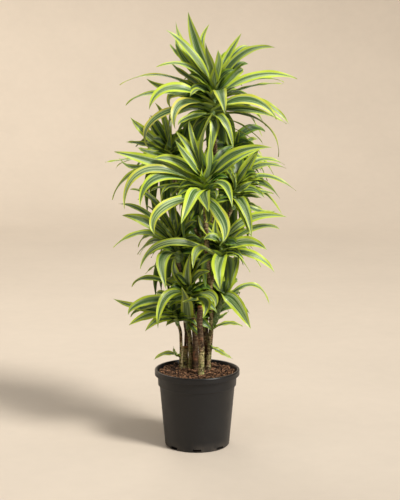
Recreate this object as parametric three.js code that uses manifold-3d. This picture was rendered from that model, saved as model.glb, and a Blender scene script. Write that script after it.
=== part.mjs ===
// Potted dracaena: a clump of woody canes that carry crowns of striped strap leaves,
// growing in bark compost in a round nursery pot.
// Millimetres, +Z up, the front towards -Y. Origin: the middle of the pot's flat underside.
import * as THREE from 'three';
import { mergeVertices } from 'three/addons/utils/BufferGeometryUtils.js';
import Module from 'manifold-3d';

const wasm = await Module();
wasm.setup();

// ---------------------------------------------------------------- driving sizes

const POT = {
  height: 246,
  rimRadius: 135,
  lipHeight: 18,
  lipTop: 6.5,
  collarRadius: 126,
  collarDrop: 50,
  collarStep: 4.5,
  bodyRadius: 120,
  footRadius: 103,
  footRounding: 5,
  wall: 2.2,
  floor: 3,
  sides: 40,
};

const SLOT = { count: 8, width: 26, height: 7, sill: 3.2, depth: 16 };

const SOIL = { level: 232, clearance: 0.4 };

// The gap left between two pieces that touch, so that each stays a solid of its own.
const GAP = 0.45;

// Rows of leaf points are read in the front view, on the upright plane through the pot's axis.
// A point nearer or farther than that plane lies on the line of sight from this viewpoint.
const EYE = new THREE.Vector3(9, -3700, 1180);

const CANE_SIDES = 8;
const CANE_STEP = 30;
const CROWN_SIDES = 6;
const HEART_TOP_RADIUS = 7.5;
const FINEST_DETAIL = 0.05;
const LEAF_STATIONS = [0, 0.2, 0.42, 0.64, 0.85];
const LEAF_KEEL = 2.4;
const LEAF_BASE_SHARE = 0.3;
const WIDEST_AT = 0.45;

// The rows give a blade's width as seen from the front. Laid flat it is this many times wider.
const FLAT_WIDTH = 1.15;

// The short sheath that a new shoot's leaves come out of.
const BUD = { height: 11, footRadius: 4.5, topRadius: 2.5 };

const UP = new THREE.Vector3(0, 0, 1);
const TO_FRONT = new THREE.Vector3(0, -1, 0);
const GOLDEN_ANGLE = Math.PI * (3 - Math.sqrt(5));

// ---------------------------------------------------------------- materials

const material = (colour, roughness) =>
  new THREE.MeshStandardMaterial({ color: colour, roughness, metalness: 0 });

const MATERIALS = {
  pot: material(0x232323, 0.45),
  soil: material(0x4a2f20, 0.95),
  bark: material(0x5a5434, 0.8),
  leaf: material(0x5d7d22, 0.4),
};

// ---------------------------------------------------------------- canes and branches

// route: [x, y, z] points of the middle line. The first radius is at the foot, the last at the top.
// twig: a thinner stem that rises from the top of a cane that was cut.
const CANES = [
  { name: 'cane_thin_left', radii: [6, 5], route: [
    [-50, 55, 120], [-53, 56, 233], [-52, 50, 320], [-55, 35, 365], [-64, 20, 392]] },
  { name: 'cane_stub_left', radii: [9.5, 9], route: [
    [-38, 70, 110], [-38, 70, 233], [-38, 68, 303]],
  twig: { radii: [4.5, 3], route: [
    [-38, 68, 298], [-38, 66, 335], [-36, 61, 372]] } },
  { name: 'cane_pale_left', radii: [7.5, 7], route: [
    [-21, 56, 110], [-22, 56, 233], [-22, 54, 320], [-28, 48, 372]] },
  { name: 'cane_back_left', radii: [8, 7], route: [
    [-8, 95, 120], [-14, 95, 233], [-34, 84, 345], [-42, 50, 440], [-52, 20, 530], [-60, 0, 600]] },
  { name: 'cane_middle', radii: [10.5, 9], route: [
    [-5, 44, 110], [-5, 44, 233], [-6, 34, 330], [-11, 20, 400], [-20, 5, 446]] },
  { name: 'cane_front', radii: [9, 9.5], route: [
    [13, -24, 110], [13, -25, 233], [13, -26, 330], [8, -22, 396], [10, -18, 452]] },
  { name: 'cane_tall', radii: [9.5, 8], route: [
    [29, 72, 110], [29, 71, 233], [27, 62, 322], [27, 50, 403], [31, 36, 522], [40, 22, 674],
    [52, 4, 847], [55, 0, 940], [47, 0, 1022]] },
  { name: 'cane_right', radii: [8, 7.5], route: [
    [35, 46, 110], [35, 46, 233], [43, 46, 338], [46, 35, 410], [42, 6, 500], [33, -26, 600],
    [28, -48, 700], [25, -60, 785]] },
  { name: 'branch_left', radii: [6.5, 7], route: [
    [35, 29, 596], [14, 34, 650], [-22, 36, 715], [-56, 34, 800], [-82, 30, 880]] },
  { name: 'branch_upper_right', radii: [6, 6.5], route: [
    [45, 15, 745], [60, 38, 785], [86, 68, 835], [106, 90, 884]] },
  { name: 'branch_right', radii: [6.5, 7], route: [
    [38, 25, 636], [56, 28, 668], [86, 22, 712], [113, 10, 766]] },
  { name: 'branch_front_right', radii: [7, 7.5], route: [
    [41, 1, 515], [50, -16, 540], [63, -38, 568], [74, -50, 598]] },
  { name: 'branch_back', radii: [7, 7.5], route: [
    [28, 46, 430], [32, 70, 462], [28, 95, 515], [18, 112, 570]] },
];

// ---------------------------------------------------------------- crowns of leaves

// Each crown grows on the end of a cane. axis: its foot and its growing tip.
// leaves: [arch x, arch z, tip x, tip z, out, width, roll], oldest and lowest first.
// The arch is the blade's half-way point. out is how far the tip lies behind the foot,
// below zero towards the front. roll turns the blade's upper face to the front, in degrees.
// fill: more leaves at the back, how long they are, between which bearings from +X they stand,
// and how far the youngest of them rises: 0 hangs, 1 stands up.
const CROWNS = [
  { name: 'crown_top', axis: [[47, 0, 1022], [52, 0, 1145]],
    radius: 12, fill: { count: 6, length: 280, from: 45, to: 135, rising: 0.75 }, leaves: [
    [132, 1002, 187, 974, 90, 16, 10],
    [148, 1017, 204, 957, 70, 16, 10],
    [199, 1033, 252, 919, 60, 18, 15],
    [-22, 1048, -59, 1017, -60, 20, 30],
    [132, 1075, 187, 1072, 60, 18, 20],
    [156, 1069, 230, 1044, 0, 24, 35],
    [162, 1101, 245, 1034, -51, 30, 50],
    [168, 1072, 276, 1021, 30, 20, 20],
    [182, 1095, 284, 1020, 0, 25, 50],
    [-120, 1050, -152, 948, 0, 24, 40],
    [-49, 1089, -68, 1006, -110, 30, 40],
    [-120, 1122, -221, 1075, 30, 20, 20],
    [-59, 1122, -83, 1072, 20, 30, 45],
    [-77, 1138, -148, 1063, -50, 30, 45],
    [-98, 1173, -238, 1140, 60, 16, 15],
    [-68, 1125, -154, 1158, 60, 28, 40],
    [175, 1143, 264, 1143, 50, 14, 10],
    [175, 1161, 267, 1148, 70, 14, 10],
    [181, 1173, 308, 1158, 0, 26, 45],
    [9, 1131, -22, 1103, -90, 22, 10],
    [73, 1126, 86, 1048, -230, 34, 0],
    [-22, 1200, -126, 1194, -30, 20, 30],
    [-28, 1170, -77, 1206, 40, 18, 30],
    [116, 1179, 141, 1185, 60, 30, 50],
    [132, 1234, 239, 1253, 0, 24, 50],
    [110, 1234, 162, 1256, 40, 18, 40],
    [-42, 1222, -82, 1264, 40, 16, 30],
    [-28, 1210, -65, 1279, 0, 28, 45],
    [-28, 1240, -65, 1333, 30, 20, 30],
    [-17, 1243, -94, 1306, -30, 28, 50],
    [89, 1222, 136, 1297, 30, 22, 50],
    [9, 1255, -27, 1360, 20, 36, 70],
    [18, 1246, 38, 1324, 30, 18, 30],
    [63, 1191, 64, 1247, -30, 16, 50],
    [40, 1206, 24, 1267, -30, 18, 50],
  ] },
  { name: 'crown_centre', axis: [[25, -60, 785], [26, -62, 856]],
    radius: 12, fill: { count: 4, length: 240, from: 70, to: 130, rising: 0.8 }, leaves: [
    [76, 735, 80, 653, -150, 36, 0],
    [-106, 767, -130, 672, -90, 32, 35],
    [40, 745, 23, 715, -80, 20, 20],
    [59, 818, 57, 785, -60, 14, 0],
    [-78, 835, -109, 775, -30, 16, 20],
    [-90, 832, -146, 810, 40, 18, 20],
    [-10, 808, -50, 709, -190, 38, 0],
    [23, 808, 35, 747, -170, 36, 0],
    [77, 842, 110, 761, -140, 26, 20],
    [-156, 884, -227, 756, -60, 26, 45],
    [-115, 864, -178, 766, -60, 34, 40],
    [-125, 905, -257, 935, -20, 32, 60],
    [109, 912, 202, 945, 20, 28, 40],
    [109, 930, 233, 948, -40, 30, 55],
    [-59, 909, -137, 912, -20, 30, 50],
    [-28, 918, -67, 970, -30, 26, 55],
    [-13, 934, -67, 999, 10, 26, 50],
    [-10, 971, -25, 1033, 20, 16, 40],
    [12, 949, 49, 1057, -30, 28, 65],
    [43, 918, 39, 996, -50, 30, 65],
  ] },
  { name: 'crown_right', axis: [[113, 10, 766], [121, 10, 838]],
    radius: 11, fill: { count: 5, length: 240, from: 35, to: 130, rising: 0.7 }, leaves: [
    [134, 766, 162, 681, -110, 26, 20],
    [145, 779, 171, 665, -120, 30, 20],
    [187, 758, 246, 752, 30, 18, 30],
    [177, 774, 200, 758, 50, 14, 20],
    [165, 804, 202, 790, 20, 16, 30],
    [177, 818, 238, 804, 0, 20, 30],
    [171, 845, 196, 822, 40, 18, 30],
    [143, 829, 174, 844, -20, 24, 50],
    [118, 872, 121, 838, -80, 12, 10],
    [202, 866, 308, 813, 0, 20, 25],
    [186, 895, 277, 883, 20, 20, 30],
    [183, 911, 271, 895, 40, 20, 30],
    [140, 872, 183, 931, -20, 26, 50],
    [152, 890, 193, 949, 12, 30, 55],
    [109, 860, 99, 900, -10, 22, 50],
  ] },
  { name: 'crown_left', axis: [[-82, 30, 880], [-85, 30, 944]],
    radius: 11, fill: { count: 5, length: 240, from: 50, to: 140, rising: 0.7 }, leaves: [
    [-199, 875, -264, 785, 0, 20, 20],
    [-146, 835, -185, 785, 40, 12, 10],
    [-152, 853, -183, 813, 30, 16, 20],
    [-199, 917, -251, 884, 80, 12, 10],
    [-208, 918, -285, 903, 40, 14, 10],
    [-177, 893, -240, 915, 20, 18, 30],
    [-140, 937, -185, 949, -20, 22, 40],
    [-158, 962, -220, 965, 20, 18, 30],
    [-149, 990, -205, 1040, 0, 28, 60],
    [-124, 993, -147, 1042, 20, 20, 50],
    [-96, 1027, -129, 1085, 30, 18, 50],
    [-90, 1002, -75, 1072, -10, 30, 60],
  ] },
  { name: 'crown_upper_right', axis: [[106, 90, 884], [109, 92, 944]],
    radius: 10, fill: { count: 6, length: 220, from: 35, to: 130, rising: 0.35 }, leaves: [
    [152, 967, 187, 974, 40, 20, 30],
    [134, 974, 139, 991, 60, 12, 30],
    [92, 993, 73, 1036, 20, 18, 50],
    [120, 971, 130, 1007, 0, 18, 50],
  ] },
  { name: 'crown_front_right', axis: [[74, -50, 598], [75, -52, 662]],
    radius: 11, fill: { count: 3, length: 180, from: 30, to: 60, rising: 0.4 }, leaves: [
    [-85, 657, -179, 567, -60, 24, 40],
    [12, 637, -13, 568, -130, 28, 20],
    [70, 586, 73, 497, -190, 38, 0],
    [172, 619, 244, 554, 0, 24, 45],
    [150, 659, 219, 627, -40, 30, 55],
    [128, 681, 159, 686, 40, 12, 20],
    [184, 703, 258, 692, 20, 18, 35],
    [122, 696, 165, 738, 20, 26, 50],
    [162, 730, 281, 731, 0, 28, 50],
    [28, 696, 3, 738, 0, 22, 50],
    [62, 674, 59, 744, 20, 22, 50],
  ] },
  { name: 'crown_lower_left', axis: [[-60, 0, 600], [-63, -10, 668]],
    radius: 11, fill: { count: 5, length: 230, from: 60, to: 140, rising: 0.8 }, leaves: [
    [-126, 586, -162, 551, 0, 12, 10],
    [-104, 608, -97, 500, -150, 34, 10],
    [-132, 656, -180, 611, 20, 12, 10],
    [-138, 681, -185, 635, 30, 20, 25],
    [-160, 687, -263, 635, -20, 20, 30],
    [-147, 716, -234, 736, 0, 32, 60],
    [-157, 747, -245, 772, 0, 20, 30],
    [-107, 725, -160, 769, 20, 12, 30],
    [-94, 716, -127, 760, 30, 12, 30],
    [-132, 785, -210, 818, 20, 20, 30],
    [-91, 690, -113, 720, -20, 16, 40],
    [-35, 696, -22, 747, 0, 22, 50],
    [-72, 690, -72, 725, -10, 24, 50],
  ] },
  { name: 'crown_low_middle', axis: [[-20, 5, 446], [-24, -4, 510]],
    radius: 12, fill: { count: 4, length: 200, from: 60, to: 140, rising: 0.8 }, leaves: [
    [-149, 456, -210, 412, 0, 22, 30],
    [-155, 471, -218, 420, -40, 28, 45],
    [-10, 477, -49, 461, -130, 24, 30],
    [25, 467, 17, 409, -100, 28, 25],
    [44, 493, 55, 441, -110, 26, 20],
    [-142, 543, -206, 508, 20, 18, 30],
    [-98, 483, -124, 376, -90, 28, 35],
    [-13, 509, 22, 522, -60, 16, 30],
    [-4, 548, 41, 559, -40, 32, 45],
    [-67, 557, -67, 608, 0, 22, 50],
    [-32, 544, -22, 617, 0, 28, 60],
  ] },
  { name: 'crown_low_right', axis: [[55, 42, 388], [84, 12, 492]],
    radius: 12, fill: { count: 5, length: 190, from: 50, to: 110, rising: 0.8 }, leaves: [
    [75, 419, 99, 430, 0, 12, 30],
    [110, 450, 169, 380, -60, 34, 50],
    [126, 496, 126, 474, 60, 12, 10],
    [167, 522, 228, 453, 20, 18, 20],
    [110, 560, 126, 624, 20, 32, 60],
  ] },
  { name: 'crown_pale_left', axis: [[-28, 48, 372], [-31, 30, 436]],
    radius: 10, fill: { count: 3, length: 170, from: 70, to: 150, rising: 0.8 }, leaves: [
    [-8, 378, 9, 350, -60, 16, 20],
    [-67, 458, -83, 490, 0, 16, 40],
    [-54, 467, -67, 500, 20, 14, 40],
    [-32, 442, -38, 513, -20, 38, 70],
  ] },
  { name: 'crown_thin_left', axis: [[-64, 20, 392], [-74, 8, 430]],
    radius: 8, fill: { count: 3, length: 170, from: 80, to: 150, rising: 0.7 }, leaves: [
    [-111, 414, -166, 366, -20, 26, 45],
    [-143, 427, -217, 385, -20, 28, 45],
    [-124, 442, -180, 436, 30, 18, 30],
    [-171, 448, -266, 472, 0, 22, 50],
  ] },
  { name: 'crown_back', axis: [[18, 112, 570], [14, 122, 640]],
    radius: 11, fill: { count: 10, length: 220, from: 30, to: 150, rising: 0.9 }, leaves: [] },
];

// New shoots low on the canes: where each starts, and its leaves as in the rows above.
const SHOOTS = [
  { name: 'shoot_left', root: [-57, 50, 272], leaves: [
    [-98, 300, -139, 273, 0, 16, 40],
    [-70, 300, -75, 318, 0, 10, 40],
  ] },
  { name: 'shoot_right', root: [46, 39, 303], leaves: [
    [72, 306, 113, 277, 0, 20, 45],
  ] },
  { name: 'shoot_low_right', root: [51, 36, 366], leaves: [
    [100, 398, 145, 382, 0, 14, 30],
  ] },
];

// ---------------------------------------------------------------- solids from points

function pointInDepth(x, z, y) {
  const stretch = 1 - y / EYE.y;
  return new THREE.Vector3(EYE.x + (x - EYE.x) * stretch, y, EYE.z + (z - EYE.z) * stretch);
}

function solidFromGeometry(geometry) {
  geometry.deleteAttribute('normal');
  geometry.deleteAttribute('uv');
  const merged = mergeVertices(geometry, 1e-4);
  const vertProperties = new Float32Array(merged.attributes.position.array);
  const triVerts = new Uint32Array(merged.index.array);
  return new wasm.Manifold(new wasm.Mesh({ numProp: 3, vertProperties, triVerts }));
}

function geometryFromSolid(solid) {
  const { vertProperties, triVerts } = solid.getMesh();
  const geometry = new THREE.BufferGeometry();
  geometry.setAttribute('position', new THREE.BufferAttribute(vertProperties, 3));
  geometry.setIndex(new THREE.BufferAttribute(triVerts, 1));
  geometry.computeVertexNormals();
  return geometry;
}

// Splits a quad along the diagonal that stands outwards, so that the walls of a thin twisted section
// never pass through each other.
function splitOutwards([a, b, c, d], points) {
  const outwards = points[b].clone().sub(points[a]).cross(points[c].clone().sub(points[a]));
  const ridge = points[d].clone().sub(points[a]).dot(outwards) <= 0;
  return ridge ? [a, b, c, a, c, d] : [a, b, d, b, c, d];
}

// A solid skinned over closed rings of points, each wound anticlockwise round the path.
// Flat ends close it, and a last ring of one point makes a sharp tip.
function loft(rings) {
  const points = rings.flat();
  const positions = points.flatMap((point) => point.toArray());
  const count = rings[0].length;
  const triangles = [];
  for (let corner = 1; corner < count - 1; corner += 1) {
    triangles.push(0, corner + 1, corner);
  }
  for (let step = 0; step < rings.length - 1; step += 1) {
    const here = step * count;
    const next = here + count;
    const pointed = rings[step + 1].length === 1;
    for (let corner = 0; corner < count; corner += 1) {
      const after = (corner + 1) % count;
      if (pointed) {
        triangles.push(here + corner, here + after, next);
      } else {
        const quad = [here + corner, here + after, next + after, next + corner];
        triangles.push(...splitOutwards(quad, points));
      }
    }
  }
  if (rings.at(-1).length > 1) {
    const last = (rings.length - 1) * count;
    for (let corner = 1; corner < count - 1; corner += 1) {
      triangles.push(last, last + corner, last + corner + 1);
    }
  }
  const geometry = new THREE.BufferGeometry();
  geometry.setAttribute('position', new THREE.Float32BufferAttribute(positions, 3));
  geometry.setIndex(triangles);
  return solidFromGeometry(geometry);
}

// A round stem: a circle carried along a smooth curve, thinner or thicker towards its top.
function stem(points, footRadius, topRadius, sides, step, grow = 0) {
  const curve = new THREE.CatmullRomCurve3(points);
  const stations = Math.max(2, Math.round(curve.getLength() / step));
  const frames = curve.computeFrenetFrames(stations);
  const rings = [];
  for (let station = 0; station <= stations; station += 1) {
    const share = station / stations;
    const radius = THREE.MathUtils.lerp(footRadius, topRadius, share) + grow;
    const middle = curve.getPointAt(share);
    if (station === 0) middle.addScaledVector(frames.tangents[0], -grow);
    if (station === stations) middle.addScaledVector(frames.tangents[stations], grow);
    rings.push(ring(middle, frames.normals[station], frames.binormals[station], radius, sides));
  }
  return loft(rings);
}

function ring(middle, across, along, radius, sides) {
  return Array.from({ length: sides }, (_, index) => {
    const angle = (index / sides) * 2 * Math.PI;
    return middle.clone()
      .addScaledVector(across, radius * Math.cos(angle))
      .addScaledVector(along, radius * Math.sin(angle));
  });
}

// ---------------------------------------------------------------- leaves

// The blade's width as a share of its greatest, from the clasping base to the pointed tip.
function widthShare(t) {
  const rise = Math.sin(Math.min(t / WIDEST_AT, 1) * Math.PI / 2);
  const fall = Math.max(0, (t - WIDEST_AT) / (1 - WIDEST_AT)) ** 1.8;
  return (LEAF_BASE_SHARE + (1 - LEAF_BASE_SHARE) * rise) * (1 - fall);
}

// A strap leaf: a shallow keeled section carried along an arc from base through arch to tip.
function leafSolid({ base, arch, tip, width, roll }, grow = 0) {
  const pull = arch.clone().multiplyScalar(2).addScaledVector(base, -0.5).addScaledVector(tip, -0.5);
  const arc = new THREE.QuadraticBezierCurve3(base, pull, tip);
  const bearing = tip.clone().sub(base).setZ(0).normalize();
  const level = UP.clone().cross(bearing);
  const rings = LEAF_STATIONS.map((t) => {
    const run = arc.getTangent(t);
    const side = level.clone().addScaledVector(run, -level.dot(run)).normalize();
    const face = run.clone().cross(side);
    const turnsRight = side.dot(TO_FRONT) < 0;
    const settled = THREE.MathUtils.smoothstep(t, 0, 0.4);
    const turn = THREE.MathUtils.degToRad(roll) * settled * (turnsRight ? 1 : -1);
    side.applyAxisAngle(run, turn);
    face.applyAxisAngle(run, turn);
    const half = widthShare(t) * FLAT_WIDTH * width / 2;
    const keel = LEAF_KEEL * widthShare(t);
    const middle = arc.getPoint(t);
    const at = (sideways, upwards) =>
      middle.clone().addScaledVector(side, sideways).addScaledVector(face, upwards);
    if (grow === 0) return [at(half, 0), at(-half, 0), at(0, -keel)];
    const wide = half + grow;
    return [at(wide, grow), at(-wide, grow), at(-wide, -grow), at(0, -keel - grow), at(wide, -grow)];
  });
  const end = arc.getPoint(1).addScaledVector(arc.getTangent(1), 3 * grow);
  return loft([...rings, [end]]);
}

function tracedLeaf(row, base) {
  const [archX, archZ, tipX, tipZ, out, width, roll] = row;
  return {
    base,
    arch: pointInDepth(archX, archZ, base.y + 0.6 * out),
    tip: pointInDepth(tipX, tipZ, base.y + out),
    width,
    roll,
  };
}

// A leaf at the back of a crown. Old leaves reach far out and hang, young ones stand up.
function backLeaf(crown, index, base) {
  const { count, length, from, to, rising } = crown.fill;
  const youth = rising * (index + 0.5) / count;
  const turn = (index * GOLDEN_ANGLE / (2 * Math.PI)) % 1;
  const bearing = THREE.MathUtils.degToRad(THREE.MathUtils.lerp(from, to, turn));
  const reach = length * (0.85 - 0.5 * youth);
  const rise = length * (1.05 * youth - 0.3);
  const lift = length * (0.26 - 0.18 * youth);
  const outwards = new THREE.Vector3(Math.cos(bearing), Math.sin(bearing), 0);
  const tip = base.clone().addScaledVector(outwards, reach).addScaledVector(UP, rise);
  const arch = base.clone().add(tip).multiplyScalar(0.5).addScaledVector(UP, lift);
  return { base, arch, tip, width: 26, roll: 0 };
}

function crownLeaves(crown) {
  const [foot, top] = crown.axis.map((point) => new THREE.Vector3(...point));
  const baseAt = (share) => foot.clone().lerp(top, 0.08 + 0.84 * share);
  const last = Math.max(1, crown.leaves.length - 1);
  const traced = crown.leaves.map((row, index) => tracedLeaf(row, baseAt(index / last)));
  const back = Array.from({ length: crown.fill.count }, (_, index) =>
    backLeaf(crown, index, baseAt((index + 0.4) / crown.fill.count)));
  return [...traced, ...back];
}

function crownSolid(crown, grow = 0) {
  const [foot, top] = crown.axis.map((point) => new THREE.Vector3(...point));
  const start = foot.clone().addScaledVector(top.clone().sub(foot).normalize(), GAP);
  const heart = stem([start, top], crown.radius, HEART_TOP_RADIUS, CROWN_SIDES, 40, grow);
  const leaves = crownLeaves(crown).map((leaf) => leafSolid(leaf, grow));
  return wasm.Manifold.union([heart, ...leaves]);
}

function shootSolid(shoot, grow = 0) {
  const root = new THREE.Vector3(...shoot.root);
  const top = root.clone().addScaledVector(UP, BUD.height);
  const bud = stem([root, top], BUD.footRadius, BUD.topRadius, CROWN_SIDES, BUD.height, grow);
  const leaves = shoot.leaves.map((row) => leafSolid(tracedLeaf(row, root), grow));
  return wasm.Manifold.union([bud, ...leaves]);
}

// ---------------------------------------------------------------- pot and soil

function lathe(profile) {
  const points = profile.map(([radius, height]) => new THREE.Vector2(radius, height));
  const geometry = new THREE.LatheGeometry(points, POT.sides);
  geometry.rotateX(Math.PI / 2);
  return solidFromGeometry(geometry);
}

// The pot's wall from the floor up, seen from inside: [radius, height], offset inwards.
function innerWall(offset) {
  const collarFoot = POT.height - POT.collarDrop;
  const inset = POT.wall + offset;
  return [
    [POT.footRadius - POT.footRounding - inset, POT.floor + offset],
    [POT.footRadius - inset, POT.floor + POT.footRounding + offset],
    [POT.bodyRadius - inset, collarFoot - POT.wall],
    [POT.bodyRadius + POT.collarStep - inset, collarFoot],
    [POT.collarRadius - inset, POT.height - POT.lipHeight],
  ];
}

function potSolid() {
  const collarFoot = POT.height - POT.collarDrop;
  const lipFoot = POT.height - POT.lipHeight;
  const rounding = POT.footRounding;
  const bend = 0.3 * rounding;
  const profile = [
    [0, 0],
    [POT.footRadius - rounding, 0],
    [POT.footRadius - bend, bend],
    [POT.footRadius, rounding],
    [POT.bodyRadius, collarFoot - 1.5],
    [POT.bodyRadius + POT.collarStep, collarFoot],
    [POT.collarRadius, lipFoot],
    [POT.collarRadius + 0.5, POT.height - 3],
    [POT.rimRadius - 2.2, POT.height - 3.5],
    [POT.rimRadius - 1.8, lipFoot + 0.5],
    [POT.rimRadius - 0.6, lipFoot],
    [POT.rimRadius, lipFoot + 3],
    [POT.rimRadius, POT.height - 4],
    [POT.rimRadius - 1.6, POT.height - 0.8],
    [POT.rimRadius - 3.4, POT.height],
    [POT.rimRadius - POT.lipTop, POT.height - 0.4],
    [POT.rimRadius - POT.lipTop - 2, POT.height - 2.5],
    ...innerWall(0).reverse(),
    [0, POT.floor],
  ];
  const slots = Array.from({ length: SLOT.count }, (_, index) => {
    const angle = (index / SLOT.count) * 2 * Math.PI - Math.PI / 2;
    const cutter = new THREE.BoxGeometry(SLOT.depth, SLOT.width, SLOT.height);
    cutter.translate(POT.footRadius, 0, SLOT.sill + SLOT.height / 2);
    cutter.rotateZ(angle);
    return solidFromGeometry(cutter);
  });
  return lathe(profile).subtract(wasm.Manifold.union(slots));
}

function soilSolid(buried) {
  const wall = innerWall(SOIL.clearance);
  const topRadius = wall.at(-1)[0];
  const profile = [[0, wall[0][1]], ...wall, [topRadius, SOIL.level], [0, SOIL.level]];
  return lathe(profile).subtract(wasm.Manifold.union(buried));
}

// ---------------------------------------------------------------- assembly

const dracaena = new THREE.Group();
dracaena.name = 'potted_dracaena';

function addPiece(name, solid, finish) {
  const whole = solid.simplify(FINEST_DETAIL).decompose();
  whole.sort((one, other) => other.volume() - one.volume());
  const mesh = new THREE.Mesh(geometryFromSolid(whole[0]), finish);
  mesh.name = name;
  dracaena.add(mesh);
}

// What already fills the space, each grown by the gap. A later piece gives way to it.
const filled = [];

function boxesMeet(one, other) {
  return [0, 1, 2].every((axis) => one.min[axis] <= other.max[axis] && other.min[axis] <= one.max[axis]);
}

function addGrowing(name, solid, grown, finish) {
  const box = solid.boundingBox();
  const near = filled.filter((other) => boxesMeet(box, other.boundingBox()));
  addPiece(name, near.length > 0 ? solid.subtract(wasm.Manifold.union(near)) : solid, finish);
  filled.push(grown);
}

function caneSolid(cane, grow = 0) {
  const route = cane.route.map((point) => new THREE.Vector3(...point));
  const trunk = stem(route, cane.radii[0], cane.radii[1], CANE_SIDES, CANE_STEP, grow);
  return cane.twig ? trunk.add(caneSolid(cane.twig, grow)) : trunk;
}

addPiece('pot', potSolid(), MATERIALS.pot);
addPiece('soil', soilSolid(CANES.map((cane) => caneSolid(cane, GAP))), MATERIALS.soil);
for (const cane of CANES) {
  addGrowing(cane.name, caneSolid(cane), caneSolid(cane, GAP), MATERIALS.bark);
}
for (const crown of CROWNS) {
  addGrowing(crown.name, crownSolid(crown), crownSolid(crown, GAP), MATERIALS.leaf);
}
for (const shoot of SHOOTS) {
  addGrowing(shoot.name, shootSolid(shoot), shootSolid(shoot, GAP), MATERIALS.leaf);
}

export default dracaena;
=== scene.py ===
"""Potted dracaena: woody canes with crowns of striped strap leaves, in bark compost and a black pot.

Metres, +Z up, the front towards -Y, the origin in the middle of the pot's underside. Rows of
measured points are in millimetres and are scaled by MM where they are read.
"""

import bpy
import numpy as np
from bpy.props import FloatProperty, FloatVectorProperty, IntProperty, PointerProperty
from bpy.types import Operator, Panel, PropertyGroup
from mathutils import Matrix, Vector


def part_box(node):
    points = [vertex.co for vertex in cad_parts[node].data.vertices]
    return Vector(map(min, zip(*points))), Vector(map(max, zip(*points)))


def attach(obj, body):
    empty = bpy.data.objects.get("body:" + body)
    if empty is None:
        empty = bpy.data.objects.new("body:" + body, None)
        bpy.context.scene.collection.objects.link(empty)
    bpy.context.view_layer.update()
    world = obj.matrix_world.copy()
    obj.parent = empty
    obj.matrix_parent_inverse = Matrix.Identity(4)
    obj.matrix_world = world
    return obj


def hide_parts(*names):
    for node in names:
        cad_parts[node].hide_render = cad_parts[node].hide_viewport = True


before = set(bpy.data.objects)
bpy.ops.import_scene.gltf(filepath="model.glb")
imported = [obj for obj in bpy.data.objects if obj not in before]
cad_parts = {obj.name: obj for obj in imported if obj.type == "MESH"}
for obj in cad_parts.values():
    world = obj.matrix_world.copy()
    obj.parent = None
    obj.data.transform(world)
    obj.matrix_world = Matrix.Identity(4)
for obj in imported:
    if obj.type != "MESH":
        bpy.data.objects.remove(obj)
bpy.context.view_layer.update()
SOIL_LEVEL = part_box("soil")[1].z
SOIL_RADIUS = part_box("soil")[1].x
RIM_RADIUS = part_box("pot")[1].x
POT_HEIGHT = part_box("pot")[1].z

bl_info = {
    "name": "Potted Dracaena",
    "version": (1, 0, 0),
    "blender": (4, 5, 0),
    "location": "3D View > Sidebar > Dracaena",
    "description": "Builds a potted dracaena with its canes, striped leaves, compost, pot and stage",
    "category": "Add Mesh",
}

MM = 0.001
SEED = 11
COLLAR_RADIUS = RIM_RADIUS - 9 * MM
BODY_RADIUS = RIM_RADIUS - 15 * MM
FOOT_RADIUS = RIM_RADIUS - 32 * MM
COLLAR_FOOT = POT_HEIGHT - 50 * MM
UP = np.array([0.0, 0.0, 1.0])
TO_FRONT = np.array([0.0, -1.0, 0.0])
GOLDEN_SHARE = (3 - np.sqrt(5)) / 2

# The viewpoint that the rows were measured from.
EYE = np.array([9.0, -3700.0, 1180.0]) * MM
EYE_PITCH = 8.5
PHOTO_SIZE = (400, 500)
FOCAL_PIXELS = 1192.6

# ------------------------------------------------------------------ measured rows, in millimetres

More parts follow.
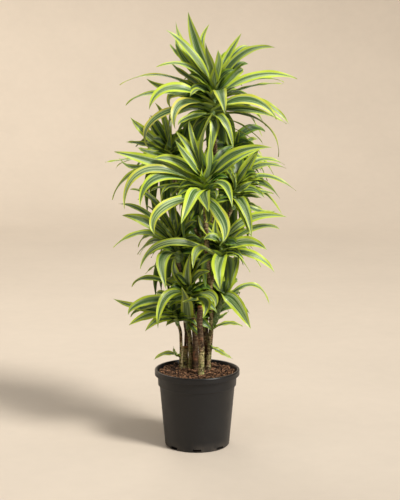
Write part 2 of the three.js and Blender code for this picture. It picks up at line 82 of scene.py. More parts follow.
# A route is a list of [x, y, z] from the roots upwards. Tone says how much of the bark is alive, at
# even steps from the foot to the top, and a cut cane ends in a sawn top.
CANES = [
  {"name": "cane_thin_left", "tone": [0.45, 0.6], "radii": [6, 5], "route": [
    [-50, 55, 120], [-53, 56, 233], [-52, 50, 320], [-55, 35, 365], [-64, 20, 392]]},
  {"name": "cane_stub_left", "cut": True, "tone": [0.7, 0.9], "radii": [9.5, 9], "route": [
    [-38, 70, 110], [-38, 70, 233], [-38, 68, 303]],
   "twig": {"tone": [0.0, 0.1], "radii": [4.5, 3], "route": [
    [-38, 68, 298], [-38, 66, 335], [-36, 61, 372]]}},
  {"name": "cane_pale_left", "tone": [0.95, 1.0], "radii": [7.5, 7], "route": [
    [-21, 56, 110], [-22, 56, 233], [-22, 54, 320], [-28, 48, 372]]},
  {"name": "cane_back_left", "tone": [0.2, 0.2], "radii": [8, 7], "route": [
    [-8, 95, 120], [-14, 95, 233], [-34, 84, 345], [-42, 50, 440], [-52, 20, 530], [-60, 0, 600]]},
  {"name": "cane_middle", "tone": [0.0, 0.05], "radii": [10.5, 9], "route": [
    [-5, 44, 110], [-5, 44, 233], [-6, 34, 330], [-11, 20, 400], [-20, 5, 446]]},
  {"name": "cane_front", "cut": True, "tone": [1, 1, 1, 1, 0.1, 0.1, 0.1], "radii": [9, 9.5],
   "route": [
    [13, -24, 110], [13, -25, 233], [13, -26, 330], [8, -22, 396], [10, -18, 452]]},
  {"name": "cane_tall", "tone": [0.3, 0.45], "radii": [9.5, 8], "route": [
    [29, 72, 110], [29, 71, 233], [27, 62, 322], [27, 50, 403], [31, 36, 522], [40, 22, 674],
    [52, 4, 847], [55, 0, 940], [47, 0, 1022]]},
  {"name": "cane_right", "tone": [0.55, 0.4], "radii": [8, 7.5], "route": [
    [35, 46, 110], [35, 46, 233], [43, 46, 338], [46, 35, 410], [42, 6, 500], [33, -26, 600],
    [28, -48, 700], [25, -60, 785]]},
  {"name": "branch_left", "tone": [0.4, 0.6], "radii": [6.5, 7], "route": [
    [35, 29, 596], [14, 34, 650], [-22, 36, 715], [-56, 34, 800], [-82, 30, 880]]},
  {"name": "branch_upper_right", "tone": [0.4, 0.6], "radii": [6, 6.5], "route": [
    [45, 15, 745], [60, 38, 785], [86, 68, 835], [106, 90, 884]]},
  {"name": "branch_right", "tone": [0.4, 0.6], "radii": [6.5, 7], "route": [
    [38, 25, 636], [56, 28, 668], [86, 22, 712], [113, 10, 766]]},
  {"name": "branch_front_right", "tone": [0.4, 0.6], "radii": [7, 7.5], "route": [
    [41, 1, 515], [50, -16, 540], [63, -38, 568], [74, -50, 598]]},
  {"name": "branch_back", "tone": [0.4, 0.5], "radii": [7, 7.5], "route": [
    [28, 46, 430], [32, 70, 462], [28, 95, 515], [18, 112, 570]]},
]

# A leaf is a row of eight at most: the x and z of its arch and of its tip, as they look from the
# viewpoint in the plane of the pot's axis, how far the tip lies behind its base, or in front of it
# where negative, its width, its roll in degrees and how yellow its margins are, from 0 to 1. The axis
# is the leafy end of the stem, from foot to top. Fill says how the leaves at the back stand: how many
# there are, how long, between which bearings, and how far the youngest rise, from 0 to 1. Skirt is the
# number of old leaves that hang below, and sheaths how far leaf sheaths reach down below the axis.
CROWNS = [
  {"name": "crown_top", "skirt": 8, "sheaths": 45, "axis": [[47, 0, 1022], [52, 0, 1145]],
    "radius": 12, "fill": {"count": 6, "length": 280, "from": 45, "to": 135, "rising": 0.75}, "leaves": [
    [50, 1018, 46, 932, -45, 26, 0],
    [2, 1030, -25, 940, 30, 30, 30],
    [85, 1038, 112, 940, -60, 24, 20],
    [132, 1002, 187, 974, 90, 16, 10],
    [148, 1017, 204, 957, 70, 16, 10],
    [199, 1033, 252, 919, 60, 18, 15, 0.3],
    [-22, 1048, -59, 1017, -60, 20, 30],
    [132, 1075, 187, 1072, 60, 18, 20],
    [156, 1069, 230, 1044, 0, 24, 35, 0.2],
    [162, 1101, 245, 1034, -51, 30, 50, 0.5],
    [168, 1072, 276, 1021, 30, 20, 20],
    [182, 1095, 284, 1020, 0, 25, 50],
    [-120, 1050, -152, 948, 0, 24, 40, 0.8],
    [-49, 1089, -68, 1006, -110, 30, 40, 0.9],
    [-120, 1122, -221, 1075, 30, 20, 20],
    [-59, 1122, -83, 1072, 20, 30, 45, 0.4],
    [-77, 1138, -148, 1063, -50, 30, 45],
    [-98, 1173, -238, 1140, 60, 16, 15, 0.4],
    [-68, 1125, -154, 1158, 60, 28, 40],
    [175, 1143, 264, 1143, 50, 14, 10],
    [175, 1161, 267, 1148, 70, 14, 10],
    [181, 1173, 308, 1158, 0, 26, 45],
    [9, 1131, -22, 1103, -90, 22, 10],
    [73, 1126, 86, 1048, -230, 34, 0, 0.35],
    [-22, 1200, -126, 1194, -30, 20, 30],
    [-28, 1170, -77, 1206, 40, 18, 30, 0.5],
    [116, 1179, 141, 1185, 60, 30, 50],
    [132, 1234, 239, 1253, 0, 24, 50],
    [110, 1234, 162, 1256, 40, 18, 40],
    [-42, 1222, -82, 1264, 40, 16, 30],
    [-28, 1210, -65, 1279, 0, 28, 45],
    [-28, 1240, -65, 1333, 30, 20, 30],
    [-17, 1243, -94, 1306, -30, 28, 50],
    [89, 1222, 136, 1297, 30, 22, 50],
    [3, 1255, -27, 1360, 20, 31, 65],
    [18, 1246, 38, 1324, 30, 18, 30],
    [63, 1191, 64, 1247, -55, 30, 20],
    [40, 1206, 26, 1268, -60, 30, 30],
    ]},
  {"name": "crown_centre", "skirt": 12, "axis": [[25, -60, 785], [26, -62, 856]],
    "radius": 12, "fill": {"count": 4, "length": 240, "from": 70, "to": 130, "rising": 0.8}, "leaves": [
    [76, 735, 80, 653, -150, 36, 0, 0.4],
    [-106, 767, -130, 672, -90, 32, 35, 0.4],
    [40, 745, 23, 715, -80, 20, 20, 0.5],
    [59, 818, 57, 785, -60, 14, 0],
    [-78, 835, -109, 775, -30, 16, 20],
    [-90, 832, -146, 810, 40, 18, 20],
    [-10, 808, -50, 709, -190, 38, 0],
    [23, 808, 35, 747, -170, 36, 0],
    [77, 842, 110, 761, -140, 26, 20],
    [-156, 884, -227, 756, -60, 26, 45, 0.5],
    [-115, 864, -178, 766, -60, 34, 40],
    [-125, 905, -257, 935, -20, 32, 60],
    [109, 912, 202, 945, 20, 28, 40],
    [109, 930, 233, 948, -40, 30, 55],
    [-59, 909, -137, 912, -20, 30, 50],
    [-28, 918, -67, 970, -30, 26, 55],
    [-13, 934, -67, 999, 10, 26, 50],
    [-10, 971, -25, 1033, 20, 16, 40],
    [12, 949, 49, 1057, -10, 30, 40],
    [43, 918, 39, 996, -20, 30, 20],
    ]},
  {"name": "crown_right", "skirt": 7, "axis": [[113, 10, 766], [121, 10, 838]],
    "radius": 11, "fill": {"count": 5, "length": 240, "from": 35, "to": 130, "rising": 0.7}, "leaves": [
    [134, 766, 162, 681, -110, 26, 20],
    [145, 779, 171, 665, -120, 30, 20],
    [187, 758, 246, 752, 30, 18, 30],
    [177, 774, 200, 758, 50, 14, 20],
    [165, 804, 202, 790, 20, 16, 30],
    [177, 818, 238, 804, 0, 20, 30],
    [171, 845, 196, 822, 40, 18, 30],
    [143, 829, 174, 844, -20, 24, 50],
    [118, 872, 121, 838, -80, 12, 10],
    [202, 866, 308, 813, 0, 20, 25],
    [186, 895, 277, 883, 20, 20, 30],
    [183, 911, 271, 895, 40, 20, 30],
    [140, 872, 183, 931, -20, 26, 50],
    [152, 890, 193, 949, 12, 30, 55],
    [109, 860, 99, 900, -10, 22, 50],
    ]},
  {"name": "crown_left", "skirt": 10, "axis": [[-82, 30, 880], [-85, 30, 944]],
    "radius": 11, "fill": {"count": 5, "length": 240, "from": 50, "to": 140, "rising": 0.7}, "leaves": [
    [-199, 875, -264, 785, 0, 20, 20],
    [-146, 835, -185, 785, 40, 12, 10],
    [-152, 853, -183, 813, 30, 16, 20],
    [-199, 917, -251, 884, 80, 12, 10],
    [-208, 918, -285, 903, 40, 14, 10],
    [-177, 893, -240, 915, 20, 18, 30],
    [-140, 937, -185, 949, -20, 22, 40],
    [-158, 962, -220, 965, 20, 18, 30],
    [-149, 990, -205, 1040, 0, 28, 60],
    [-124, 993, -147, 1042, 20, 20, 50],
    [-96, 1027, -129, 1085, 30, 18, 50],
    [-90, 1002, -75, 1072, -10, 30, 60],
    ]},
  {"name": "crown_upper_right", "skirt": 6, "axis": [[106, 90, 884], [109, 92, 944]],
    "radius": 10, "fill": {"count": 6, "length": 220, "from": 35, "to": 130, "rising": 0.35}, "leaves": [
    [152, 967, 187, 974, 40, 20, 30],
    [134, 974, 139, 991, 60, 12, 30],
    [92, 993, 73, 1036, 20, 18, 50],
    [120, 971, 130, 1007, 0, 18, 50],
    ]},
  {"name": "crown_front_right", "skirt": 6, "axis": [[74, -50, 598], [75, -52, 662]],
    "radius": 11, "fill": {"count": 3, "length": 180, "from": 30, "to": 60, "rising": 0.4}, "leaves": [
    [-85, 657, -179, 567, -60, 24, 40],
    [12, 637, -13, 568, -130, 28, 20],
    [70, 586, 73, 497, -190, 38, 0],
    [172, 619, 244, 554, 0, 24, 45],
    [150, 659, 219, 627, -40, 30, 55],
    [128, 681, 159, 686, 40, 12, 20],
    [184, 703, 258, 692, 20, 18, 35],
    [122, 696, 165, 738, 20, 26, 50],
    [162, 730, 281, 731, 0, 28, 50],
    [28, 696, 3, 738, 0, 22, 50],
    [62, 674, 59, 744, 20, 22, 50],
    ]},
  {"name": "crown_lower_left", "skirt": 6, "axis": [[-60, 0, 600], [-63, -10, 668]],
    "radius": 11, "fill": {"count": 5, "length": 230, "from": 60, "to": 140, "rising": 0.8}, "leaves": [
    [-126, 586, -162, 551, 0, 12, 10],
    [-104, 608, -97, 500, -150, 34, 10],
    [-132, 656, -180, 611, 20, 12, 10],
    [-138, 681, -185, 635, 30, 20, 25],
    [-160, 687, -263, 635, -20, 20, 30],
    [-147, 716, -234, 736, 0, 32, 60],
    [-157, 747, -245, 772, 0, 20, 30],
    [-107, 725, -160, 769, 20, 12, 30],
    [-94, 716, -127, 760, 30, 12, 30],
    [-132, 785, -210, 818, 20, 20, 30],
    [-91, 690, -113, 720, -20, 16, 40],
    [-35, 696, -22, 747, 0, 22, 50],
    [-72, 690, -72, 725, -10, 24, 50],
    ]},
  {"name": "crown_low_middle", "skirt": 2, "axis": [[-20, 5, 446], [-24, -4, 510]],
    "radius": 12, "fill": {"count": 4, "length": 200, "from": 60, "to": 140, "rising": 0.8}, "leaves": [
    [-149, 456, -210, 412, 0, 22, 30],
    [-155, 471, -218, 420, -40, 28, 45],
    [-10, 477, -49, 461, -130, 24, 30, 0.4],
    [25, 467, 17, 409, -100, 28, 25],
    [44, 493, 55, 441, -110, 26, 20],
    [-142, 543, -206, 508, 20, 18, 30],
    [-98, 483, -124, 376, -90, 28, 35],
    [-13, 509, 22, 522, -60, 16, 30],
    [-4, 548, 41, 559, -40, 32, 45],
    [-67, 557, -67, 608, 0, 22, 50],
    [-32, 544, -22, 617, 0, 28, 60],
    ]},
  {"name": "crown_low_right", "axis": [[55, 42, 388], [84, 12, 492]],
    "radius": 12, "fill": {"count": 5, "length": 190, "from": 50, "to": 110, "rising": 0.8}, "leaves": [
    [75, 419, 99, 430, 0, 12, 30],
    [126, 496, 126, 474, 60, 12, 10],
    [167, 522, 228, 453, 20, 18, 20],
    [110, 560, 126, 624, 20, 32, 60],
    [122, 460, 170, 375, -60, 38, 60],
    ]},
  {"name": "crown_pale_left", "axis": [[-28, 48, 372], [-31, 30, 436]],
    "radius": 10, "fill": {"count": 3, "length": 170, "from": 70, "to": 150, "rising": 0.8}, "leaves": [
    [-32, 445, -49, 508, -115, 38, 20],
    [-8, 378, 9, 350, -60, 16, 20],
    [-67, 458, -83, 490, 0, 16, 40],
    [-54, 467, -67, 500, 20, 14, 40],
    ]},
  {"name": "crown_thin_left", "axis": [[-64, 20, 392], [-74, 8, 430]],
    "radius": 8, "fill": {"count": 3, "length": 170, "from": 80, "to": 150, "rising": 0.7}, "leaves": [
    [-111, 414, -166, 366, -20, 26, 45],
    [-143, 427, -217, 385, -20, 28, 45],
    [-124, 442, -180, 436, 30, 18, 30],
    [-171, 448, -266, 472, 0, 22, 50],
    ]},
  {"name": "crown_back", "skirt": 8, "axis": [[18, 112, 570], [14, 122, 640]],
    "radius": 11, "fill": {"count": 10, "length": 220, "from": 30, "to": 150, "rising": 0.9},
    "leaves": []},
]

SHOOTS = [
  {"name": "shoot_left", "root": [-57, 50, 272], "leaves": [
    [-98, 300, -139, 273, 0, 15, 30],
    [-70, 300, -75, 318, 0, 10, 40],
    ]},
  {"name": "shoot_right", "root": [46, 39, 303], "leaves": [
    [72, 306, 113, 277, 0, 17, 30],
    ]},
  {"name": "shoot_low_right", "root": [51, 36, 366], "leaves": [
    [100, 398, 145, 382, 0, 14, 30],
    ]},
]

# ------------------------------------------------------------------ meshes from grids of points

RIPPLE_WAVES = 7
# Radians per metre.
RIPPLE_PITCH = (20, 150)
MOST_WAVES_ROUND = 3


class Skin:
    """Points, faces and values per point, gathered part by part for one mesh."""

    def __init__(self):
        self.points = []
        self.quads = []
        self.triangles = []
        self.values = {}
        self.count = 0

    def add(self, points, quads, triangles, **values):
        """Adds a closed part, turned so that its faces point outwards. Values are one number per
        point, or one for the whole part."""
        fan = np.concatenate([quads[:, [0, 1, 2]], quads[:, [0, 2, 3]], triangles])
        a, b, c = (points[fan[:, k]] for k in range(3))
        if np.einsum("ij,ij->i", a, np.cross(b, c)).sum() < 0:
            quads, triangles = quads[:, ::-1], triangles[:, ::-1]
        self.points.append(points)
        self.quads.append(quads + self.count)
        self.triangles.append(triangles + self.count)
        for name, value in values.items():
            self.values.setdefault(name, []).append(np.broadcast_to(value, len(points)))
        self.count += len(points)

    def piece(self, name, material, node, slot, crease):
        """Makes the object with its edges sharp past the crease angle in degrees, rides it on the
        plant's body and hides the CAD node that it stands for."""
        mesh = bpy.data.meshes.new(name)
        quads, triangles = np.concatenate(self.quads), np.concatenate(self.triangles)
        mesh.vertices.add(self.count)
        mesh.vertices.foreach_set("co", np.concatenate(self.points).astype(np.float32).ravel())
        mesh.loops.add(quads.size + triangles.size)
        mesh.loops.foreach_set("vertex_index", np.concatenate([quads.ravel(), triangles.ravel()]))
        mesh.polygons.add(len(quads) + len(triangles))
        starts = [np.arange(len(quads)) * 4, quads.size + np.arange(len(triangles)) * 3]
        mesh.polygons.foreach_set("loop_start", np.concatenate(starts))
        mesh.update(calc_edges=True)
        for key, rows in self.values.items():
            layer = mesh.attributes.new(key, "FLOAT", "POINT")
            layer.data.foreach_set("value", np.concatenate(rows).astype(np.float32))
        piece = smooth_object(mesh, material)
        mesh.set_sharp_from_angle(angle=np.radians(crease))
        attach(piece, "root")
        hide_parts(node)


def smooth_object(mesh, material):
    """An object of the mesh's name, smooth shaded, in the scene."""
    mesh.polygons.foreach_set("use_smooth", np.ones(len(mesh.polygons), bool))
    mesh.materials.append(material)
    piece = bpy.data.objects.new(mesh.name, mesh)
    bpy.context.scene.collection.objects.link(piece)
    return piece


def tube(rings):
    """A closed skin over rings of points, an array of stations by points round by three.
    Quads join each ring to the next, and a fan to the middle of the first and last ring closes it."""
    stations, around = rings.shape[:2]
    ring, turn = np.meshgrid(np.arange(stations - 1), np.arange(around), indexing="ij")
    here, after = ring * around + turn, ring * around + (turn + 1) % around
    quads = np.stack([here, after, after + around, here + around], axis=-1).reshape(-1, 4)
    points = np.concatenate([rings.reshape(-1, 3), rings[[0, -1]].mean(axis=1)])
    first, last = np.arange(around), (stations - 1) * around + np.arange(around)
    foot, top = np.full(around, len(points) - 2), np.full(around, len(points) - 1)
    triangles = np.concatenate([np.stack([foot, np.roll(first, -1), first], axis=-1),
                                np.stack([top, last, np.roll(last, -1)], axis=-1)])
    return points, quads, triangles


def tube_values(grid):
    """A value per point of a tube, with each cap's middle taking the mean of its ring."""
    return np.concatenate([grid.ravel(), grid[[0, -1]].mean(axis=1)])


def circle(corners):
    """Angles of a closed ring of corners, from 0 up to a full turn."""
    return np.linspace(0, 2 * np.pi, corners, endpoint=False)


def rings_round(middle, across, aim, radius, around):
    """Rings of points round a middle line: at each station the radius times the cosine of the angle
    round along one direction across the aim, and its sine along the other."""
    other = np.cross(aim, across)
    spread = across[:, None] * np.cos(around)[..., None] + other[:, None] * np.sin(around)[..., None]
    return middle[:, None] + spread * radius[..., None]


def revolve(profile, angle):
    """[radius, height] rows turned round the pot's axis, each into a ring of points."""
    radius, height = profile[:, 0, None], profile[:, 1, None]
    rings = np.broadcast_arrays(radius * np.cos(angle), radius * np.sin(angle), height)
    return np.stack(rings, axis=-1)


def unit(vectors):
    """Vectors brought to length 1."""
    return vectors / np.linalg.norm(vectors, axis=-1, keepdims=True)


def smoothstep(low, high, value):
    """0 before low, 1 past high, and three squares less two cubes of the share of the way between."""
    share = np.clip((value - low) / (high - low), 0, 1)
    return share * share * (3 - 2 * share)


def turned(vectors, axes, angle):
    """Vectors turned about unit axes square to them: v cos a + (k x v) sin a."""
    angle = np.asarray(angle)[..., None]
    return vectors * np.cos(angle) + np.cross(axes, vectors) * np.sin(angle)


def ripple(angle, along, rng):
    """A soft bumpy value of about -1 to 1: a sum of sines of the angle round and the way along,
    with whole numbers of waves round, so that it closes."""
    rounds = rng.integers(0, MOST_WAVES_ROUND + 1, RIPPLE_WAVES)
    pitch = rng.uniform(*RIPPLE_PITCH, RIPPLE_WAVES)
    phase = rng.uniform(0, 2 * np.pi, RIPPLE_WAVES)
    terms = [np.sin(r * angle + p * along + f) for r, p, f in zip(rounds, pitch, phase)]
    return np.sum(terms, axis=0) / np.sqrt(RIPPLE_WAVES)


# ------------------------------------------------------------------ leaves

# A blade's shape: widths as shares of its greatest, places as shares of its length, and the fold of
# its upper face as the rise of its margins over half its width.
STATIONS = 24
ACROSS = 8
WIDEST_AT = 0.48
BASE_SHARE = 0.8
TIP_SHARE = 0.015
TIP_POWER = 1.75
UPRIGHT_START = 0.12
SWAY_WAVES = 0.8
TWIST_POWER = 1.5
ROLLED_AT = 0.4
BASE_FOLD = 1.0
MIDDLE_FOLD = 0.24
TIP_FOLD = 0.36
FOLD_NARROWS = 0.1
KEEL_ROUNDING = 0.03
KEEL_DROP = 0.45
MARGIN_WAVES = (2, 4)
BLADE_CREASE = 75

# A measured leaf: how much wider it is laid flat than it looks, how far its middle line runs below
# its upper edge, and the share of its depth that is reached at the arch.
FLAT_WIDTH = 1.15
EDGE_DROP = 5 * MM
ARCH_DEPTH = 0.6

# Leaves along the axis, and the ranges that those without a row are drawn from: bearings and rolls
# in degrees, lengths as shares of the crown's, widths in millimetres.
LEAVES_FROM = 0.08
LEAVES_TO = 0.92
BACK_WIDTH = 26 * MM
BACK_ROLL = 45
INNER_BEARINGS = (25, 155)
SIDE_BEARINGS = (-12, 192)
INNER_LENGTHS = (0.7, 0.98)
SIDE_LENGTH = 0.6
INNER_WIDTHS = (22, 32)
# Shades are how much painted shade darkens a leaf, for the leaves that stand in shade inside the crown.
INNER_SHADES = (0.3, 1.0)
SKIRT_BEARINGS = (58, 158)
SKIRT_LENGTHS = (0.75, 1.0)
SKIRT_WIDTHS = (24, 34)
SKIRT_ROLL = -52
# Painted shade that darkens the skirt's leaves, which hang in the shade below the crown.
SKIRT_SHADE = 0.8


def in_depth(x, z, y):
    """A measured point moved along its line of sight to depth y. All in metres."""
    stretch = 1 - y / EYE[1]
    return np.array([EYE[0] + (x - EYE[0]) * stretch, y, EYE[2] + (z - EYE[2]) * stretch])


def width_share(t):
    """A blade's width as a share of its greatest. It swells as a quarter sine from its clasping base
    to its widest, then falls off by a power to the pointed tip."""
    rise = np.sin(np.minimum(t / WIDEST_AT, 1) * np.pi / 2)
    fall = np.clip((t - WIDEST_AT) / (1 - WIDEST_AT), 0, 1) ** TIP_POWER
    return np.maximum((BASE_SHARE + (1 - BASE_SHARE) * rise) * (1 - fall), TIP_SHARE)


def add_blade(skin, leaf, look, rng):
    """A strap leaf. The middle line is a cubic from base to tip with its half-way point on the arch,
    which starts closer to the stem's direction than a parabola would. Round it runs a lens shaped
    section whose upper face is a V with a rounded keel, deep where it clasps the stem and shallow in
    the middle, with a slow twist and wavy margins. The more a leaf points sideways, the more its roll
    turns it about the middle line, upper face to the front, or lower face where it is negative."""
    base, arch, tip = leaf["base"], leaf["arch"], leaf["tip"]
    t = np.linspace(0, 1, STATIONS)
    onward = (2 * arch - 0.5 * (base + tip) - base) * 2 / 3
    upward = leaf["stem"] * np.linalg.norm(onward)
    first = base + onward + UPRIGHT_START * (upward - onward)
    second = (8 * arch - base - 3 * first - tip) / 3
    start, end = (1 - t)[:, None], t[:, None]
    middle = (start**3 * base + 3 * start**2 * end * first + 3 * start * end**2 * second
              + end**3 * tip)
    run = unit(start**2 * (first - base) + 2 * start * end * (second - first)
               + end**2 * (tip - second))

    bearing = (tip - base) * [1, 1, 0]
    level = unit(np.cross(UP, bearing))
    side = unit(level - run * (run @ level)[:, None])
    bend = np.sin(np.pi * t) * np.sin(2 * np.pi * (SWAY_WAVES * t + rng.random()))
    middle = middle + side * look.sway * bend[:, None]
    to_left = np.where(side @ TO_FRONT < 0, 1.0, -1.0)
    twist = np.radians(rng.uniform(-look.twist, look.twist)) * t ** TWIST_POWER
    roll = np.radians(leaf["roll"]) * abs(unit(bearing)[0]) + look.facing
    side = turned(side, run, roll * smoothstep(0, ROLLED_AT, t) * to_left + twist)
    face = np.cross(run, side)

    upper = np.linspace(-1, 1, ACROSS + 1)
    across = np.concatenate([upper, upper[-2:0:-1]])
    under = np.concatenate([np.zeros(ACROSS + 1), np.ones(ACROSS - 1)])
    half = 0.5 * leaf["width"] * look.width_scale * width_share(t)[:, None]
    opened, closing = smoothstep(0, 0.3, t)[:, None], smoothstep(0.7, 1, t)[:, None]
    fold = BASE_FOLD + (MIDDLE_FOLD - BASE_FOLD) * opened + (TIP_FOLD - MIDDLE_FOLD) * closing
    channel = half * fold * (np.sqrt(across ** 2 + KEEL_ROUNDING) - KEEL_DROP)
    wave = np.sin(2 * np.pi * (rng.uniform(*MARGIN_WAVES) * t + rng.random()))[:, None]
    free = smoothstep(0.05, 0.3, t)[:, None]
    channel = channel + look.waves * wave * across ** 3 * free
    depth = look.thickness * (1 - across ** 2) * np.sqrt(width_share(t))[:, None] * under
    rings = (middle[:, None] + side[:, None] * (half * across * (1 - FOLD_NARROWS * fold))[..., None]
             + face[:, None] * (channel - depth)[..., None])
    grid = np.ones((STATIONS, len(across)))
    skin.add(*tube(rings), across=tube_values(grid * across), along=tube_values(grid * t[:, None]),
             under=tube_values(grid * under), yellow=leaf["yellow"], shade=leaf["shade"],
             tint=rng.random())


def traced_leaf(row, base, stem):
    """A leaf from a row of measured points, with its base on the stem. The arch is measured on the
    leaf's upper edge, so the middle line runs a little lower."""
    arch_x, arch_z, tip_x, tip_z, out, width = np.array(row[:6]) * MM
    return {
        "base": base,
        "stem": stem,
        "arch": in_depth(arch_x, arch_z - EDGE_DROP, base[1] + ARCH_DEPTH * out),
        "tip": in_depth(tip_x, tip_z, base[1] + out),
        "width": width * FLAT_WIDTH,
        "roll": row[6],
        "yellow": row[7] if len(row) > 7 else 0.0,
        "shade": 0.0,
    }


def guessed_leaf(base, stem, bearing, length, arch, tip, **form):
    """A leaf that no row gives. Its arch and its tip are given as shares of its length outwards and
    upwards from its base, and form holds its width, its roll and how much painted shade darkens it."""
    outwards = np.array([np.cos(bearing), np.sin(bearing), 0])
    points = {name: base + (outwards * out + UP * up) * length
              for name, (out, up) in (("arch", arch), ("tip", tip))}
    return {"base": base, "stem": stem, "yellow": 0.0, **points, **form}


def back_leaf(base, stem, bearing, length, youth, width=BACK_WIDTH, shade=0.0):
    """An old leaf reaches far out and hangs, a young one stands up. Shade is painted shade: it deepens
    the leaf to a darker green, for a leaf that stands in the shade inside the crown."""
    out, up = 0.85 - 0.5 * youth, 1.05 * youth - 0.3
    arch = (out / 2, up / 2 + 0.26 - 0.18 * youth)
    return guessed_leaf(base, stem, bearing, length, arch, (out, up), width=width, roll=BACK_ROLL,
                        shade=shade)


def skirt_leaf(base, stem, bearing, length, width):
    """An old leaf that hangs close to the stem below its crown, its lower face rolled to the front,
    and darkened by painted shade.
    """
    return guessed_leaf(base, stem, bearing, length, (0.34, -0.10), (0.40, -0.74), width=width,
                        roll=SKIRT_ROLL, shade=SKIRT_SHADE)


def golden_bearing(index, low, high):
    """The index-th of many bearings, in radians, that the golden angle spreads from low to high."""
    return np.radians(low + (high - low) * (index * GOLDEN_SHARE % 1))


def crown_leaves(crown, look, rng):
    """All the leaves of one crown: the measured ones, those at the back on a golden angle, more at
    the back and sides that fill it, and a skirt of old ones that hang behind the stem."""
    foot, top = np.array(crown["axis"]) * MM
    stem = unit(top - foot)
    rows, fill = crown["leaves"], crown["fill"]
    reach = fill["length"] * MM

    def base_at(share):
        return foot + (top - foot) * (LEAVES_FROM + (LEAVES_TO - LEAVES_FROM) * share)

    last = max(1, len(rows) - 1)
    leaves = [traced_leaf(row, base_at(i / last), stem) for i, row in enumerate(rows)]
    for i in range(fill["count"]):
        youth = fill["rising"] * (i + 0.5) / fill["count"]
        bearing = golden_bearing(i, fill["from"], fill["to"])
        leaves.append(back_leaf(base_at((i + 0.4) / fill["count"]), stem, bearing, reach, youth))
    for i in range(look.inner):
        height = (i + 0.5) / look.inner
        youth = fill["rising"] * height + rng.uniform(-0.1, 0.2)
        aside = i % 4 == 0
        bearing = np.radians(rng.choice(SIDE_BEARINGS) if aside else rng.uniform(*INNER_BEARINGS))
        length = reach * rng.uniform(*INNER_LENGTHS) * (SIDE_LENGTH if aside else 1)
        width = rng.uniform(*INNER_WIDTHS) * MM
        # Painted shade: inner leaves are darkened as if shaded by the leaves round them.
        shade = rng.uniform(*INNER_SHADES)
        leaves.append(back_leaf(base_at(height), stem, bearing, length, youth, width, shade))
    for i in range(crown.get("skirt", 0)):
        bearing = golden_bearing(i, *SKIRT_BEARINGS)
        length = reach * rng.uniform(*SKIRT_LENGTHS)
        width = rng.uniform(*SKIRT_WIDTHS) * MM
        leaves.append(skirt_leaf(base_at(0.3 * rng.random()), stem, bearing, length, width))
    return leaves


# The stem inside a crown. Its material is a leaf's, HEART_ALONG of the way up the blade.
HEART_STATIONS = 44
STEM_CORNERS = 28
BUD_HEIGHT = 11 * MM
BUD_RADIUS = 4.5 * MM
SHEATHS_BELOW = 12
LAP_HEIGHT = 13 * MM
LAP_STEP = 0.16
LAP_ACROSS = 0.85
HEART_ALONG = 0.14


def add_heart(skin, foot, top, foot_radius, rng):
    """The stem under the leaf bases, wrapped in sheaths: a round stem that swells out of the cane and
    thins to a domed tip, with a saw-tooth of two laps round that climbs it as a screw, each lap's
    edge standing proud."""
    around, along = np.meshgrid(circle(STEM_CORNERS), np.linspace(0, 1, HEART_STATIONS))
    distance = along * np.linalg.norm(top - foot)
    lap = (around / np.pi + distance / LAP_HEIGHT + rng.random()) % 1
    dome = np.sqrt(np.clip(1 - smoothstep(0.9, 1, along) ** 2, 0.002, 1))
    swelling = 0.72 + 0.28 * smoothstep(0, 0.2, along)
    radius = foot_radius * swelling * (0.9 - 0.4 * along) * dome
    radius = radius * (1 + LAP_STEP * lap + 0.04 * ripple(around, distance, rng))
    aim = unit(top - foot)
    across = unit(np.cross(TO_FRONT, aim))
    middle = foot + (top - foot) * along[:, :1]
    rings = rings_round(middle, across[None], aim[None], radius, around)
    # The heart's shade of 0.3 is painted shade, for the stem that stands in shade inside the crown.
    skin.add(*tube(rings), across=tube_values((2 * lap - 1) * LAP_ACROSS), along=HEART_ALONG,
             under=0.6, yellow=0.0, shade=0.3, tint=rng.random())


def build_crown(crown, look, material, rng):
    """One crown: its sheathed stem, which reaches some way down the cane, and all its leaves."""
    skin = Skin()
    foot, top = np.array(crown["axis"]) * MM
    sheathed = unit(top - foot) * crown.get("sheaths", SHEATHS_BELOW) * MM
    add_heart(skin, foot - sheathed, top, crown["radius"] * MM, rng)
    for leaf in crown_leaves(crown, look, rng):
        add_blade(skin, leaf, look, rng)
    skin.piece(crown["name"] + "_leaves", material, crown["name"], "leaf", BLADE_CREASE)


def build_shoot(shoot, look, material, rng):
    """One new shoot: a bud on the cane and its first leaves."""
    skin = Skin()
    root = np.array(shoot["root"]) * MM
    add_heart(skin, root, root + UP * BUD_HEIGHT, BUD_RADIUS, rng)
    for row in shoot["leaves"]:
        add_blade(skin, traced_leaf(row, root, UP), look, rng)
    skin.piece(shoot["name"] + "_leaves", material, shoot["name"], "leaf", BLADE_CREASE)


# ------------------------------------------------------------------ canes

# Ring scars, the flare where a cane enters the compost, and the sawn top of a cut one.
SCAR_WIDTH = 1.5 * MM
SCAR_WANDER = 1.2 * MM
MOST_SCARS = 400
FLARE = 0.2
FLARE_HEIGHT = 12 * MM
CUT_ROUND = 3 * MM
CUT_NARROWS = 0.18
CUT_DEPTH = 6 * MM
BARK_CREASE = 60


def smooth_route(points, step):
    """Evenly spaced points of a smooth curve through the given ones: cubic Hermite spans on the
    chord length, with the slopes of the neighbouring chords. Returns points, tangents, distances."""
    knots = np.concatenate([[0], np.cumsum(np.linalg.norm(np.diff(points, axis=0), axis=1))])
    slopes = np.gradient(points, knots, axis=0)
    count = max(8, round(knots[-1] / step))
    s = np.linspace(0, knots[-1], count + 1)
    span = np.clip(np.searchsorted(knots, s, side="right") - 1, 0, len(knots) - 2)
    wide = (knots[span + 1] - knots[span])[:, None]
    u = (s - knots[span])[:, None] / wide
    here, after = points[span], points[span + 1]
    middle = ((2 * u**3 - 3 * u**2 + 1) * here + (u**3 - 2 * u**2 + u) * wide * slopes[span]
              + (3 * u**2 - 2 * u**3) * after + (u**3 - u**2) * wide * slopes[span + 1])
    return middle, unit(np.gradient(middle, s, axis=0)), s


